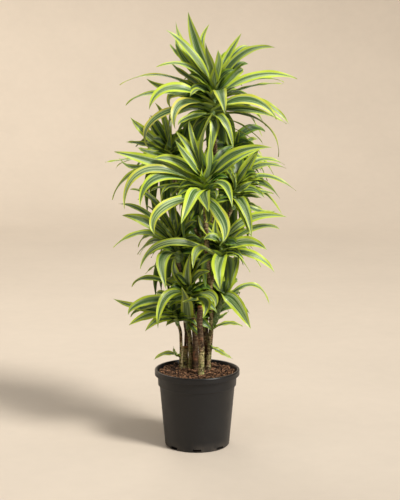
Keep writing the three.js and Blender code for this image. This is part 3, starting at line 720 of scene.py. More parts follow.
def add_stem(skin, cane, look, rng):
    """A circle carried along the cane's route. Its radius swells a little to each leaf scar and
    steps in above it, with a soft ripple, and flares where it enters the compost. A cut cane ends in
    a flat top with a rounded edge."""
    middle, run, s = smooth_route(np.array(cane["route"], float) * MM, look.step)
    foot, top = np.array(cane["radii"]) * MM
    around, along = np.meshgrid(circle(STEM_CORNERS), s)
    nodes = np.cumsum(rng.uniform(0.5, 1.5, MOST_SCARS)) * look.ring_spacing
    way = along + SCAR_WANDER * np.sin(around + rng.uniform(0, 6) + along * 60)
    above = np.searchsorted(nodes, way)
    below = np.concatenate([[0], nodes])[above]
    gap = nodes[above] - below
    climb = (way - below) / gap
    below_node = np.exp(-((1 - climb) * gap / SCAR_WIDTH) ** 2)
    above_node = np.exp(-(climb * gap / SCAR_WIDTH) ** 2)
    broken = ripple(around, along, rng)
    scar = below_node * smoothstep(-0.9, 0.5, broken)
    ridge = above_node * smoothstep(0.7, -0.5, broken)
    swell = 0.05 * climb**3 + 0.05 * (below_node + above_node) + 0.035 * broken
    swell = swell + FLARE * np.exp(-np.clip(middle[:, 2:] - SOIL_LEVEL, 0, None) / FLARE_HEIGHT)
    radius = (foot + (top - foot) * along / s[-1]) * (0.95 + swell)
    cut = np.zeros_like(along)
    if cane.get("cut"):
        end = np.clip((s[-1] - along) / CUT_ROUND, 0, 1)
        radius = radius * (1 - CUT_NARROWS + CUT_NARROWS * np.sqrt(1 - (1 - end) ** 2))
        cut = smoothstep(CUT_DEPTH, 0.0, s[-1] - along)
    rings = rings_round(middle, unit(np.cross(TO_FRONT, run)), run, radius, around)
    tone = np.interp(along / s[-1], np.linspace(0, 1, len(cane["tone"])), cane["tone"])
    skin.add(*tube(rings), scar=tube_values(scar), ridge=tube_values(ridge), cut=tube_values(cut),
             tone=tube_values(tone))


def build_cane(cane, look, material, rng):
    """One cane or branch, and the twig that grows from it if it has one."""
    skin = Skin()
    add_stem(skin, cane, look, rng)
    if "twig" in cane:
        add_stem(skin, cane["twig"], look, rng)
    skin.piece(cane["name"] + "_bark", material, cane["name"], "bark", BARK_CREASE)


# ------------------------------------------------------------------ pot

# The pot's section, in millimetres.
LIP_HEIGHT = 18
POT_FLOOR = 3
FOOT_ROUND = 5
ROLL_ROUND = 3.5
COLLAR_STEP = 4.5
SLOT_SILL = 3.2
SLOT_HEAD = 10.2

# Rows of quads up a drainage slot, and columns of quads round the pot for each slot.
SLOT_BANDS = 3
COLUMNS_PER_SLOT = 24
POT_CREASE = 35


def arc(radius, height, bow, start, end, steps):
    """Points of an arc round [radius, height], angles in degrees from outwards towards upwards."""
    angle = np.radians(np.linspace(start, end, steps))
    return np.stack([radius + bow * np.cos(angle), height + bow * np.sin(angle)], axis=-1)


def pot_profile(pot):
    """The pot's half section as [radius, height] rows, from the middle of its underside, up the
    outside, over the rolled rim, down the inside to the middle of its floor, and the first rows of
    the outer and inner bands that the drainage slots are cut from, SLOT_BANDS rows of quads high. It
    is drawn in millimetres."""
    rim, collar, body, foot = np.array([RIM_RADIUS, COLLAR_RADIUS, BODY_RADIUS, FOOT_RADIUS]) / MM
    high, step, wall = np.array([POT_HEIGHT, COLLAR_FOOT, pot.wall]) / MM
    lip = high - LIP_HEIGHT
    outside = [
        [[0, 1.2], [foot - 14, 1.2], [foot - 11.5, 0.3], [foot - 9, 0]],
        arc(foot - FOOT_ROUND, FOOT_ROUND, FOOT_ROUND, -90, -30, 5),
    ]
    slot_outer = sum(len(rows) for rows in outside)
    outside += [
        [[foot - 0.5, SLOT_SILL], [foot - 0.1, 4.2], [foot, FOOT_ROUND]],
        [[foot + (body - foot) * (z - FOOT_ROUND) / (step - FOOT_ROUND), z]
         for z in (SLOT_HEAD, 12.5, 50, 100, 150, step - 4)],
        [[body, step - 1.8], [body + 0.6, step - 1], [body + 3.8, step - 0.3],
         [body + COLLAR_STEP, step + 0.5]],
        [[collar - 0.8, lip - 12], [collar, lip]],
        [[collar + 0.5, high - 3], [rim - 2.2, high - 3.5], [rim - 1.8, lip + 1]],
        arc(rim - 1, lip + 1, 0.9, 180, 360, 5),
        [[rim, lip + 3], [rim, high - 6]],
        arc(rim - ROLL_ROUND, high - ROLL_ROUND, ROLL_ROUND, 0, 90, 6),
        arc(rim - 5.5, high - 3, 3, 90, 160, 5),
    ]
    inside = [
        [collar - wall - 0.2, lip],
        [body - wall + COLLAR_STEP, step],
        [body - wall, step - wall],
        [foot - wall + 0.4, 12.5],
    ]
    slot_inner = sum(len(rows) for rows in outside) + len(inside)
    inside += [
        [foot - wall + 0.2, SLOT_HEAD],
        [foot - wall, 8],
        [foot - wall - 2.4, 5.6],
        [foot - wall - 4.8, SLOT_SILL],
        [foot - wall - 5.5, POT_FLOOR],
        [0, POT_FLOOR],
    ]
    return np.concatenate([*outside, inside]) * MM, slot_outer, slot_inner


def build_pot(pot, material):
    """The half section turned round the axis, with a band of quads taken out of the outer and inner
    wall at each drainage slot and the edges of the two holes joined by quads."""
    profile, outer, inner = pot_profile(pot)
    around = COLUMNS_PER_SLOT * pot.slots
    points, quads, triangles = tube(revolve(profile[1:-1], circle(around) - np.pi / 2))
    points[-2:] = [[0, 0, profile[0, 1]], [0, 0, profile[-1, 1]]]
    outer, inner = outer - 1, inner - 1
    half = round(pot.slot_width * around / (4 * np.pi * FOOT_RADIUS))
    keep = np.ones(len(quads), bool)
    bridges = []
    rows = np.arange(SLOT_BANDS)
    for slot in range(pot.slots):
        turn = (np.arange(-half, half) + slot * COLUMNS_PER_SLOT) % around
        after = (turn + 1) % around
        for first in (outer, inner):
            keep[((first + rows)[:, None] * around + turn).ravel()] = False
        low, high = outer * around, (outer + SLOT_BANDS) * around
        in_high, in_low = inner * around, (inner + SLOT_BANDS) * around
        bridges.append(np.stack([low + turn, low + after, in_low + after, in_low + turn], axis=-1))
        bridges.append(np.stack([high + after, high + turn, in_high + turn, in_high + after], axis=-1))
        for column, flip in ((turn[0], False), (after[-1], True)):
            a, c = (outer + rows) * around + column, (inner + rows[::-1]) * around + column
            wall = np.stack([a, c + around, c, a + around], axis=-1)
            bridges.append(wall[:, ::-1] if flip else wall)
    skin = Skin()
    skin.add(points, np.concatenate([quads[keep], *bridges]), triangles)
    skin.piece("nursery_pot", material, "pot", "pot", POT_CREASE)


# ------------------------------------------------------------------ compost

# The plug of compost, and the bed that its top makes.
PLUG_GAP = 1.2 * MM
PLUG_RINGS = 60
PLUG_CORNERS = 160
BED_DROP = 2 * MM
MOUND = 2.5 * MM
BANK = 6.5 * MM
# Each size of wave: radians per metre, and its height in millimetres.
BED_WAVES = ((60, 1.1), (140, 0.8), (300, 0.6), (650, 0.4))
WAVES_OF_EACH = 4
CHIP_STATIONS = np.array([-1, -0.5, 0.55, 1.0])
CHIP_CORNERS = 5
CHIP_CREASE = 48


def bed_height(x, y):
    """The height of the compost's surface above its level: a sum of sines of x and y, a few
    millimetres in all, mounded a little towards the middle and up the wall."""
    rng = np.random.default_rng(SEED)
    outwards = np.hypot(x, y) / SOIL_RADIUS
    total = MOUND * np.exp(-(outwards / 0.5) ** 2) + BANK * smoothstep(0.55, 0.97, outwards)
    for pitch, height in BED_WAVES:
        for _ in range(WAVES_OF_EACH):
            heading, phase = rng.uniform(0, 2 * np.pi, 2)
            way = x * np.cos(heading) + y * np.sin(heading)
            total = total + height * MM * np.sin(pitch * way + phase)
    return total


def build_compost(soil, material, rng):
    """The compost is a plug that fills the pot with a bumpy top, and bark chips lie over it: bent,
    tapered lumps with five sides, turned at random."""
    level = SOIL_LEVEL - BED_DROP
    rim = SOIL_RADIUS - PLUG_GAP
    radius, turn = np.meshgrid(rim * np.linspace(1, 0.01, PLUG_RINGS), circle(PLUG_CORNERS),
                               indexing="ij")
    x, y = radius * np.cos(turn), radius * np.sin(turn)
    top = np.stack([x, y, level + bed_height(x, y)], axis=-1)
    side = np.array([[FOOT_RADIUS - 10.5 * MM, 3.8 * MM], [FOOT_RADIUS - 6 * MM, 8.5 * MM],
                     [BODY_RADIUS - 3.5 * MM, COLLAR_FOOT - 3 * MM],
                     [rim - 0.8 * MM, COLLAR_FOOT + 2 * MM]])
    skin = Skin()
    skin.add(*tube(np.concatenate([revolve(side, circle(PLUG_CORNERS)), top])), tint=0.35, chip=0.0)

    count = soil.chips
    distance = rim * 0.985 * np.sqrt(rng.random(count))
    heading = rng.uniform(0, 2 * np.pi, count)
    centre_x, centre_y = distance * np.cos(heading), distance * np.sin(heading)
    long = rng.gamma(4, 0.25, count) * soil.chip_length
    wide = long * rng.uniform(0.25, 0.6, count)
    thick = wide * rng.uniform(0.3, 0.6, count)
    taper = np.sqrt(1 - 0.82 * CHIP_STATIONS**2)[:, None]
    corners = circle(CHIP_CORNERS)
    rough = 1 + rng.uniform(-0.22, 0.22, (count, len(CHIP_STATIONS), CHIP_CORNERS))
    local = np.empty((*rough.shape, 3))
    local[..., 0] = CHIP_STATIONS[:, None] * (long / 2)[:, None, None]
    local[..., 1] = taper * np.cos(corners) * rough * (wide / 2)[:, None, None]
    local[..., 2] = taper * np.sin(corners) * rough * (thick / 2)[:, None, None]
    bend = 0.12 * long * rng.uniform(-1, 1, count)
    local[..., 2] += (CHIP_STATIONS**2)[:, None] * bend[:, None, None]
    yaw, pitch = rng.uniform(0, 2 * np.pi, count), rng.normal(0, 0.3, count)
    forward = np.stack([np.cos(yaw) * np.cos(pitch), np.sin(yaw) * np.cos(pitch), np.sin(pitch)], -1)
    across = np.stack([-np.sin(yaw), np.cos(yaw), rng.normal(0, 0.3, count)], -1)
    across = unit(across - forward * np.einsum("ij,ij->i", across, forward)[:, None])
    turns = np.stack([forward, across, np.cross(forward, across)], axis=1)
    chips = np.einsum("cskj,cji->cski", local, turns)
    lift = level + bed_height(centre_x, centre_y) + thick * 0.3
    chips = chips + np.stack([centre_x, centre_y, lift], -1)[:, None, None]
    inside = np.linalg.norm(chips[..., :2], axis=-1).max(axis=(1, 2)) < rim + PLUG_GAP / 2
    tints = rng.random(count) ** 1.5
    for chip, tint in zip(chips[inside], tints[inside]):
        skin.add(*tube(chip), tint=tint, chip=1.0)
    skin.piece("bark_compost", material, "soil", "soil", CHIP_CREASE)


# ------------------------------------------------------------------ node trees


class Signal:
    """A node's output. Plus, minus, times and abs on it add math nodes to its tree."""

    def __init__(self, socket):
        self.socket = socket
        self.tree = socket.id_data

    def __add__(self, other):
        return calc("ADD", self, other)

    def __sub__(self, other):
        return calc("SUBTRACT", self, other)

    def __rsub__(self, other):
        return calc("SUBTRACT", other, self)

    def __mul__(self, other):
        return calc("MULTIPLY", self, other)

    def __abs__(self):
        return calc("ABSOLUTE", self)


def add(tree, kind, inputs, **settings):
    """Adds a node. Inputs maps a socket's name or number to a signal, a colour or a number."""
    node = tree.nodes.new(kind)
    for name, value in settings.items():
        setattr(node, name, value)
    for key, value in inputs.items():
        socket = node.inputs[key]
        if isinstance(value, Signal):
            tree.links.new(value.socket, socket)
        elif socket.type == "RGBA":
            socket.default_value = (*value[:3], 1.0)
        else:
            socket.default_value = value
    return node


def tree_of(inputs):
    """The tree that the first signal among a node's inputs runs through."""
    return next(value.tree for value in inputs.values() if isinstance(value, Signal))


def result(kind, output, inputs, **settings):
    """Adds a node beside its inputs and returns its output of that name or number."""
    return Signal(add(tree_of(inputs), kind, inputs, **settings).outputs[output])


def calc(operation, *values):
    """A math node over signals and numbers."""
    return result("ShaderNodeMath", 0, dict(enumerate(values)), operation=operation)


def fraction(value):
    """What is left of a value past its whole number."""
    return calc("FRACT", value)


def remap(value, low, high, to_low=0.0, to_high=1.0, kind="SMOOTHSTEP"):
    """The value taken from low..high to to_low..to_high, held at both ends."""
    inputs = {"Value": value, "From Min": low, "From Max": high, "To Min": to_low, "To Max": to_high}
    return result("ShaderNodeMapRange", "Result", inputs, interpolation_type=kind)


def blend(share, first, second, mode="MIX"):
    """The first colour where the share is 0 and the second, or its effect by mode, where it is 1."""
    inputs = {"Factor": share, 6: first, 7: second}
    return result("ShaderNodeMix", 2, inputs, data_type="RGBA", blend_type=mode)


def vector(x, y, z):
    """Three values as one."""
    return result("ShaderNodeCombineXYZ", "Vector", {"X": x, "Y": y, "Z": z})


def brightened(color, factor):
    """The colour times a factor."""
    return blend(1.0, color, vector(factor, factor, factor), "MULTIPLY")


def speckle(where, size, detail=3.0, rough=0.55):
    """A noise of about 0.2 to 0.8 whose lumps are 1 / size across."""
    inputs = {"Vector": where, "Scale": size, "Detail": detail, "Roughness": rough}
    return result("ShaderNodeTexNoise", "Fac", inputs)


def relief(height, strength, depth):
    """A bump normal: depth is the height's full travel in metres."""
    inputs = {"Height": height, "Strength": strength, "Distance": depth}
    return result("ShaderNodeBump", "Normal", inputs)


def group(name, inputs, outputs):
    """A node group with named sockets, each "Color", "Float" or "Vector". Returns its inputs by name
    and a function that wires its outputs."""
    tree = bpy.data.node_groups.new(name, "ShaderNodeTree")
    for way, sockets in (("INPUT", inputs), ("OUTPUT", outputs)):
        for key, kind in sockets.items():
            tree.interface.new_socket(key, in_out=way, socket_type="NodeSocket" + kind)
    given = tree.nodes.new("NodeGroupInput").outputs

    def put_out(**values):
        add(tree, "NodeGroupOutput", values)

    return {key: Signal(given[key]) for key in inputs}, put_out


def use(name, make, inputs):
    """Places the node group of that name beside its inputs, made the first time it is asked for, and
    returns its outputs by name."""
    if name not in bpy.data.node_groups:
        make(name)
    node = add(tree_of(inputs), "ShaderNodeGroup", inputs, node_tree=bpy.data.node_groups[name])
    return {socket.name: Signal(socket) for socket in node.outputs}


def new_material(name):
    """A material with an empty node tree."""
    material = bpy.data.materials.new(name)
    material.use_nodes = True
    material.node_tree.nodes.clear()
    return material


def value_of(material, name):
    """The mesh's own value of that name."""
    node = add(material.node_tree, "ShaderNodeAttribute", {}, attribute_name=name)
    return Signal(node.outputs["Fac"])


def place_on_piece(material):
    """The place of each point of the piece."""
    return Signal(add(material.node_tree, "ShaderNodeTexCoord", {}).outputs["Object"])


def surfaced(material, shader):
    """The material with that shader as its surface."""
    add(material.node_tree, "ShaderNodeOutputMaterial", {"Surface": shader})
    return material


def principled(inputs):
    """A principled shader with these inputs."""
    return result("ShaderNodeBsdfPrincipled", "BSDF", inputs)


def make_mottling(name):
    """Fine unevenness: two sizes of noise that vary a colour's brightness, its roughness and height."""
    inputs = {"Place": "Vector", "Color": "Color", "Size": "Float", "Amount": "Float"}
    given, put_out = group(name, inputs, {"Color": "Color", "Fine": "Float", "Broad": "Float"})
    broad = speckle(given["Place"], given["Size"])
    fine = speckle(given["Place"], given["Size"] * 9.0, 4.0, 0.65)
    swing = (broad * 0.6 + fine * 0.4 - 0.5) * given["Amount"]
    put_out(Color=brightened(given["Color"], swing * 4.0 + 1.0), Fine=fine, Broad=broad)


def mottled(where, color, size, amount):
    """The outputs of the fine mottling over a colour."""
    inputs = {"Place": where, "Color": color, "Size": size, "Amount": amount}
    return use("Fine mottling", make_mottling, inputs)


# ------------------------------------------------------------------ materials

NOISE_SPAN = (0.3, 0.7)
BLOTCH_STRETCH = 0.7

# Colours of a leaf that aren't settings. The flesh tint multiplies the light that comes through.
BROWN_TIP = (0.16, 0.08, 0.03)
GREEN_SEAM = (0.22, 0.38, 0.045)
# Painted shade: a shaded leaf's colour is multiplied by this green.
PAINTED_SHADE_GREEN = (0.27, 0.42, 0.22)
DULL_GREEN = (0.20, 0.30, 0.10)
FLESH_TINT = (1.1, 1.25, 0.45)
FLESH_SHARE = 0.21

# Streaks and threads of a leaf are noises with this many lumps across half its width and along it.
# The other sizes are shares of half the width.
STREAKS = (6.5, 1.1)
THREADS = (24.0, 2.5)
STREAKS_SHARE = 0.65
EDGE_WANDER = 0.16
EDGE_FRAY = 0.07
BAND_SPREAD = 0.16
BAND_AT_TIP = 0.65
SEAM_WIDTH = 0.1
LINE_INSIDE = 0.04
LINE_WIDTH = 0.06
LEAF_LEVELS = (0.82, 1.18)
LEAF_GLOSS = (0.32, 0.46)
SHEEN_FROM = (0.44, 0.62)
# The values that each point of a leaf's mesh has.
LEAF_VALUES = ("Across", "Along", "Tint", "Yellow", "Under", "Shade")


def make_stripes(name):
    """A striped leaf by its own coordinates: a dark middle band with fine lengthwise streaks, a thin
    pale line at its edge, and bright margins. Across is -1 to 1 from margin to margin, along 0 to 1
    from base to tip, and tint a number of each leaf's own. Band is the middle band's share of the
    width. Yellow turns the margins to the old colour, under dulls the lower face, and shade is painted
    shade: it deepens the whole leaf towards a dark green, for leaves that stand in shade. The foot
    takes the base colour, a green darkened by painted shade where the leaves clasp the stem."""
    colours = ("Centre", "Sheen", "Line", "Margin", "Old Margin", "Base")
    inputs = {**dict.fromkeys((*LEAF_VALUES, "Band"), "Float"), **dict.fromkeys(colours, "Color")}
    given, put_out = group(name, inputs, {"Color": "Color", "Roughness": "Float", "Height": "Float"})
    across, along, tint = given["Across"], given["Along"], given["Tint"]
    own = tint * 61.0
    streaks = speckle(vector(across * STREAKS[0], along * STREAKS[1], own), 1.0, 2.0, 0.5)
    threads = speckle(vector(across * THREADS[0], along * THREADS[1], own), 1.0, 2.0, 0.6)
    way = abs(across) + ((streaks - 0.5) * EDGE_WANDER + (threads - 0.5) * EDGE_FRAY)
    narrowing = remap(along, 0.2, 1.0, 1.0, BAND_AT_TIP) * given["Band"]
    past = way - (narrowing + (fraction(own) - 0.5) * BAND_SPREAD)

    both = streaks * STREAKS_SHARE + threads * (1 - STREAKS_SHARE)
    centre = blend(remap(both, *SHEEN_FROM), given["Centre"], given["Sheen"])
    ageing = given["Yellow"] * (remap(along, 0.15, 0.4) * remap(along, 0.65, 1.0, 1.0, 0.35))
    margin = blend(ageing, given["Margin"], given["Old Margin"])
    margin = blend(remap(past, 0.0, SEAM_WIDTH), GREEN_SEAM, margin)
    painted = blend(remap(past, -0.02, 0.03), centre, margin)
    near = remap(abs(past + LINE_INSIDE), 0.0, LINE_WIDTH, 0.85, 0.0)
    painted = blend(near * remap(streaks, 0.3, 0.5), painted, given["Line"])
    # The foot of each blade turns to the base colour, which holds painted shade where the leaves clasp
    # the stem.
    painted = blend(remap(along, 0.0, 0.16, 0.75, 0.0), painted, given["Base"])
    painted = blend(remap(along, 0.965, 1.0) * given["Yellow"], painted, BROWN_TIP)
    painted = blend(given["Under"] * 0.3, painted, DULL_GREEN)
    level = remap(fraction(tint * 23.0), 0, 1, *LEAF_LEVELS, "LINEAR")
    # Painted shade: the shade value multiplies the leaf's colour towards a dark green.
    painted = blend(given["Shade"], brightened(painted, level), PAINTED_SHADE_GREEN, "MULTIPLY")
    gloss = remap(threads, *NOISE_SPAN, *LEAF_GLOSS) + given["Under"] * 0.15
    put_out(Color=painted, Roughness=gloss, Height=streaks + threads)


def leaf_material(name, look, margin, band):
    """A leaf's waxy skin over flesh that lets some light through."""
    material = new_material(name)
    values = {key: value_of(material, key.lower()) for key in LEAF_VALUES}
    colours = {"Centre": look.centre, "Sheen": look.sheen, "Line": look.line, "Margin": margin,
               "Old Margin": look.old_margin, "Base": look.base}
    paint = use("Leaf stripes", make_stripes, {**values, **colours, "Band": band})
    skin = principled({
        "Base Color": paint["Color"], "Roughness": paint["Roughness"], "Specular IOR Level": 0.42,
        "Coat Weight": 0.12, "Coat Roughness": 0.25, "Normal": relief(paint["Height"], 0.35, 0.6 * MM),
    })
    lit = blend(1.0, paint["Color"], FLESH_TINT, "MULTIPLY")
    flesh = result("ShaderNodeBsdfTranslucent", "BSDF", {"Color": lit})
    both = result("ShaderNodeMixShader", "Shader", {0: FLESH_SHARE, 1: skin, 2: flesh})
    return surfaced(material, both)


def bark_material(look):
    """Olive and brown bark: blotches drawn out along the cane, pale corky patches, rust on the dead
    bark, and dark ring scars with a pale upper edge. A fresh cut is orange brown."""
    material = new_material("ringed_bark")
    squeezed = {"Vector": place_on_piece(material), "Scale": (1, 1, BLOTCH_STRETCH)}
    drawn_out = result("ShaderNodeMapping", "Vector", squeezed)
    tone = value_of(material, "tone")
    mottle = mottled(drawn_out, look.green, 120.0, 0.6)
    blotch = speckle(drawn_out, 75.0, 4.0, 0.6)
    alive = remap(blotch + tone * 0.45, 0.62, 0.86)
    skin = blend(alive, look.brown, mottle["Color"])
    pale = remap(speckle(drawn_out, 150.0, 2.0, 0.5), 0.46, 0.6) * (tone * 0.75)
    skin = blend(pale, skin, look.fleck)
    rust = remap(speckle(drawn_out, 60.0), 0.52, 0.62, 0.0, 0.8) * (1.0 - tone)
    skin = blend(rust, skin, look.rust)
    ridge = value_of(material, "ridge") * remap(tone, 0.0, 0.6, 0.25, 0.8)
    skin = blend(ridge, skin, look.fleck)
    rot = remap(speckle(drawn_out, 110.0), 0.56, 0.64, 0.0, 0.9)
    skin = blend(rot, skin, look.scar)
    skin = blend(value_of(material, "scar"), skin, look.scar)
    skin = blend(value_of(material, "cut"), skin, look.cut)
    return surfaced(material, principled({
        "Base Color": skin, "Roughness": remap(mottle["Fine"], *NOISE_SPAN, 0.55, 0.85),
        "Specular IOR Level": 0.25, "Normal": relief(mottle["Fine"] * 0.7 + blotch, 0.6, 1.2 * MM),
    }))


def plastic_material(look):
    """Satin black moulded plastic with a faint grain, greyer where dust lies at the foot and
    glossier on the rim, where it is handled."""
    material = new_material("black_moulded_plastic")
    where = place_on_piece(material)
    mottle = mottled(where, look.colour, 22.0, 0.3)
    height = result("ShaderNodeSeparateXYZ", "Z", {"Vector": where})
    dust = remap(height, 0.0, 35 * MM, 0.5, 0.0) * remap(mottle["Broad"], 0.35, 0.65)
    handled = remap(height, POT_HEIGHT - 10 * MM, POT_HEIGHT - 4 * MM, 0.0, 0.12)
    rough = remap(mottle["Broad"], *NOISE_SPAN, 0.41, 0.49) + dust * 0.4 - handled
    return surfaced(material, principled({
        "Base Color": blend(dust, mottle["Color"], look.dust), "Roughness": rough,
        "Specular IOR Level": 0.42, "Normal": relief(speckle(where, 1400.0, 2.0), 0.12, 0.3 * MM),
    }))


def compost_material(look):
    """Moist bark: each chip its own red brown, and the bed between the chips darker still: the
    compost's own dark brown deepened by painted shade in the gaps.
    """
    material = new_material("bark_compost")
    chips = blend(remap(value_of(material, "tint"), 0.0, 1.0), look.dark, look.light)
    # The bed colour holds painted shade for the gaps between the chips.
    chips = blend(value_of(material, "chip"), look.bed, chips)
    mottle = mottled(place_on_piece(material), chips, 160.0, 0.8)
    return surfaced(material, principled({
        "Base Color": mottle["Color"], "Roughness": remap(mottle["Fine"], *NOISE_SPAN, 0.7, 0.98),
        "Specular IOR Level": 0.2, "Normal": relief(mottle["Fine"], 0.8, 1 * MM),
    }))


def floor_material(look):
    """Plain warm plaster with a very faint cloudiness."""
    material = new_material("pale_floor")
    mottle = mottled(place_on_piece(material), look.floor, 1.6, 0.05)
    return surfaced(material, principled({"Base Color": mottle["Color"], "Roughness": 0.85}))


# ------------------------------------------------------------------ stage

FLOOR_GAP = 0.4 * MM
FLOOR_RINGS = ([0.05, 0], [1, 0], [3, 0])
BEND_STEPS = 24
FLOOR_CORNERS = 96
PLANT_MIDDLE = (0, 0, 0.75)
POT_MIDDLE = (0, 0, 0.15)


def build_floor(look):
    """A round bowl: a flat floor that turns up through a quarter circle into a low wall, far enough
    out to stand behind every view."""
    turn_up = arc(look.flat, look.bend, look.bend, -90, 0, BEND_STEPS)
    wall_top = [[look.flat + look.bend, look.bend + look.wall]]
    profile = np.concatenate([FLOOR_RINGS, turn_up, wall_top]) - [0, FLOOR_GAP]
    points, quads, triangles = tube(revolve(profile, circle(FLOOR_CORNERS)))
    mesh = bpy.data.meshes.new("floor")
    middle = triangles[:FLOOR_CORNERS]
    mesh.from_pydata(points, [], quads[:, ::-1].tolist() + middle[:, ::-1].tolist())
    smooth_object(mesh, floor_material(look))


def hang_light(name, kind, spot, aim, energy, tone, **form):
    """Places a light at the spot and points it at the aim. Form holds its shape, size or angle."""
    light = bpy.data.lights.new(name, kind)
    light.energy = energy
    light.color = tone
    for key, value in form.items():
        setattr(light, key, value)
    lamp = bpy.data.objects.new(name, light)
    lamp.location = spot
    lamp.rotation_euler = (Vector(aim) - Vector(spot)).to_track_quat("-Z", "Y").to_euler()
    bpy.context.scene.collection.objects.link(lamp)


def soft_light(name, spot, aim, size, power, tone):
    """A round area light."""
    hang_light(name, "AREA", spot, aim, power, tone, shape="DISK", size=size)


def place_camera():
    """The camera stands at the viewpoint that the rows were measured from."""
    camera = bpy.data.cameras.new("camera")
    camera.lens = FOCAL_PIXELS / max(PHOTO_SIZE) * camera.sensor_width
    camera.clip_end = 60
    eye = bpy.data.objects.new("camera", camera)
    eye.location = EYE
    eye.rotation_euler = (np.radians(90 - EYE_PITCH), 0, 0)
    bpy.context.scene.collection.objects.link(eye)
    bpy.context.scene.camera = eye


def light_room(scene, strength):
    """A warm white light from all round."""
    world = bpy.data.worlds.new("soft_room")
    world.use_nodes = True
    background = world.node_tree.nodes["Background"].inputs
    background["Color"].default_value = (1.0, 0.95, 0.88, 1.0)
    background["Strength"].default_value = strength
    scene.world = world
    scene.view_settings.view_transform = "Standard"


# ------------------------------------------------------------------ settings a user would change


def size_setting(name, description, default):
    """A length in metres."""
    return FloatProperty(name=name, description=description, default=default, min=0, unit="LENGTH",
                         precision=4)


def amount_setting(name, description, default):
    """A plain number from 0 up."""
    return FloatProperty(name=name, description=description, default=default, min=0)


def angle_setting(name, description, degrees):
    """An angle, with its default in degrees."""
    return FloatProperty(name=name, description=description, default=np.radians(degrees),
                         subtype="ANGLE")


def count_setting(name, description, default, least=0):
    """A whole number."""
    return IntProperty(name=name, description=description, default=default, min=least)


def colour_setting(name, description, default):
    """A colour."""
    return FloatVectorProperty(name=name, description=description, default=default, size=3, min=0,
                               max=1, subtype="COLOR")


class LeafSettings(PropertyGroup):
    width_scale: amount_setting("Width", "Leaf width as a multiple of the measured one", 1.02)
    thickness: size_setting("Thickness", "Thickness at the midrib", 0.0009)
    sway: size_setting("Sway", "How far a blade bends sideways", 0.004)
    waves: size_setting("Waves", "How far the margins rise and fall", 0.0014)
    band: amount_setting("Band", "Share of a grown leaf's width that is its middle band", 0.60)
    young_band: amount_setting("Young band", "The same on a new shoot's leaf", 0.40)
    facing: angle_setting("Facing", "How far every leaf turns its upper face to the front", 12)
    twist: angle_setting("Twist", "Most turn from base to tip", 16)
    inner: count_setting("Inner leaves", "Unmeasured leaves that fill each crown", 26)
    centre: colour_setting("Centre", "Middle band", (0.060, 0.130, 0.028))
    sheen: colour_setting("Sheen", "Fine streaks in the middle band", (0.38, 0.48, 0.21))
    line: colour_setting("Line", "Thin line beside the middle band", (0.64, 0.72, 0.46))
    margin: colour_setting("Margin", "Margins of a grown leaf", (0.51, 0.62, 0.05))
    young_margin: colour_setting("Young margin", "Margins of a new shoot's leaf", (0.50, 0.60, 0.05))
    old_margin: colour_setting("Old margin", "Margins of an old leaf", (0.70, 0.62, 0.10))
    # The base colour is a green darkened by painted shade, where the leaves clasp the stem inside the
    # crown.
    base: colour_setting("Base", "Clasping foot of the leaf", (0.12, 0.18, 0.045))


class CaneSettings(PropertyGroup):
    ring_spacing: size_setting("Ring spacing", "Usual distance between leaf scars", 0.0080)
    step: size_setting("Step", "Distance between the rings of points", 0.0013)
    green: colour_setting("Green", "Living bark", (0.23, 0.24, 0.080))
    brown: colour_setting("Brown", "Dead bark", (0.050, 0.027, 0.012))
    rust: colour_setting("Rust", "Flaked patches on the dead bark", (0.20, 0.085, 0.04))
    scar: colour_setting("Scar", "Ring scars and holes", (0.018, 0.009, 0.005))
    fleck: colour_setting("Fleck", "Pale corky patches", (0.50, 0.38, 0.21))
    cut: colour_setting("Cut", "Freshly cut wood", (0.42, 0.19, 0.06))


class PotSettings(PropertyGroup):
    slots: count_setting("Slots", "Number of drainage slots", 8, 4)
    slot_width: size_setting("Slot width", "Width of a drainage slot", 0.026)
    wall: size_setting("Wall", "Thickness of the wall", 0.0022)
    colour: colour_setting("Colour", "Moulded plastic", (0.0045, 0.0046, 0.0054))
    dust: colour_setting("Dust", "Dust at the foot", (0.09, 0.075, 0.06))


class CompostSettings(PropertyGroup):
    chips: count_setting("Chips", "Number of bark chips", 4200)
    chip_length: size_setting("Chip length", "Usual length of a chip", 0.0062)
    light: colour_setting("Light", "Lightest chips", (0.30, 0.155, 0.082))
    dark: colour_setting("Dark", "Darkest chips", (0.020, 0.010, 0.0055))
    # The bed colour is the compost's own dark brown deepened by painted shade of the gaps between the
    # chips.
    bed: colour_setting("Bed", "Between the chips", (0.014, 0.007, 0.004))


class StageSettings(PropertyGroup):
    flat: size_setting("Flat", "Radius of the flat floor", 5.2)
    bend: size_setting("Bend", "Radius of the turn into the wall", 3.0)
    wall: size_setting("Wall", "Height of the wall above the turn", 2.5)
    floor: colour_setting("Floor", "Floor and wall", (0.550, 0.480, 0.402))
    key: amount_setting("Key", "Strength of the soft sunlight in watts per square metre", 3.9)
    softness: angle_setting("Softness", "Angle that the key light fills", 16)
    fill: amount_setting("Fill", "Power of the fill light in watts", 8)
    low: amount_setting("Low", "Power of the low light on the pot's right side in watts", 24)
    top: amount_setting("Top", "Power of the light overhead in watts", 26)
    back: amount_setting("Back", "Power of the light behind in watts", 38)
    sky: amount_setting("Sky", "Strength of the light all round", 0.25)


SETTINGS = {
    "dracaena_leaf": LeafSettings,
    "dracaena_cane": CaneSettings,
    "dracaena_pot": PotSettings,
    "dracaena_compost": CompostSettings,
    "dracaena_stage": StageSettings,
}


# ------------------------------------------------------------------ operators and panel


class BuildPot(Operator):
    """Build the nursery pot with its rolled rim and drainage slots"""
    bl_idname = "dracaena.pot"
    bl_label = "Pot"

    def execute(self, context):
        look = context.scene.dracaena_pot
        build_pot(look, plastic_material(look))
        return {"FINISHED"}


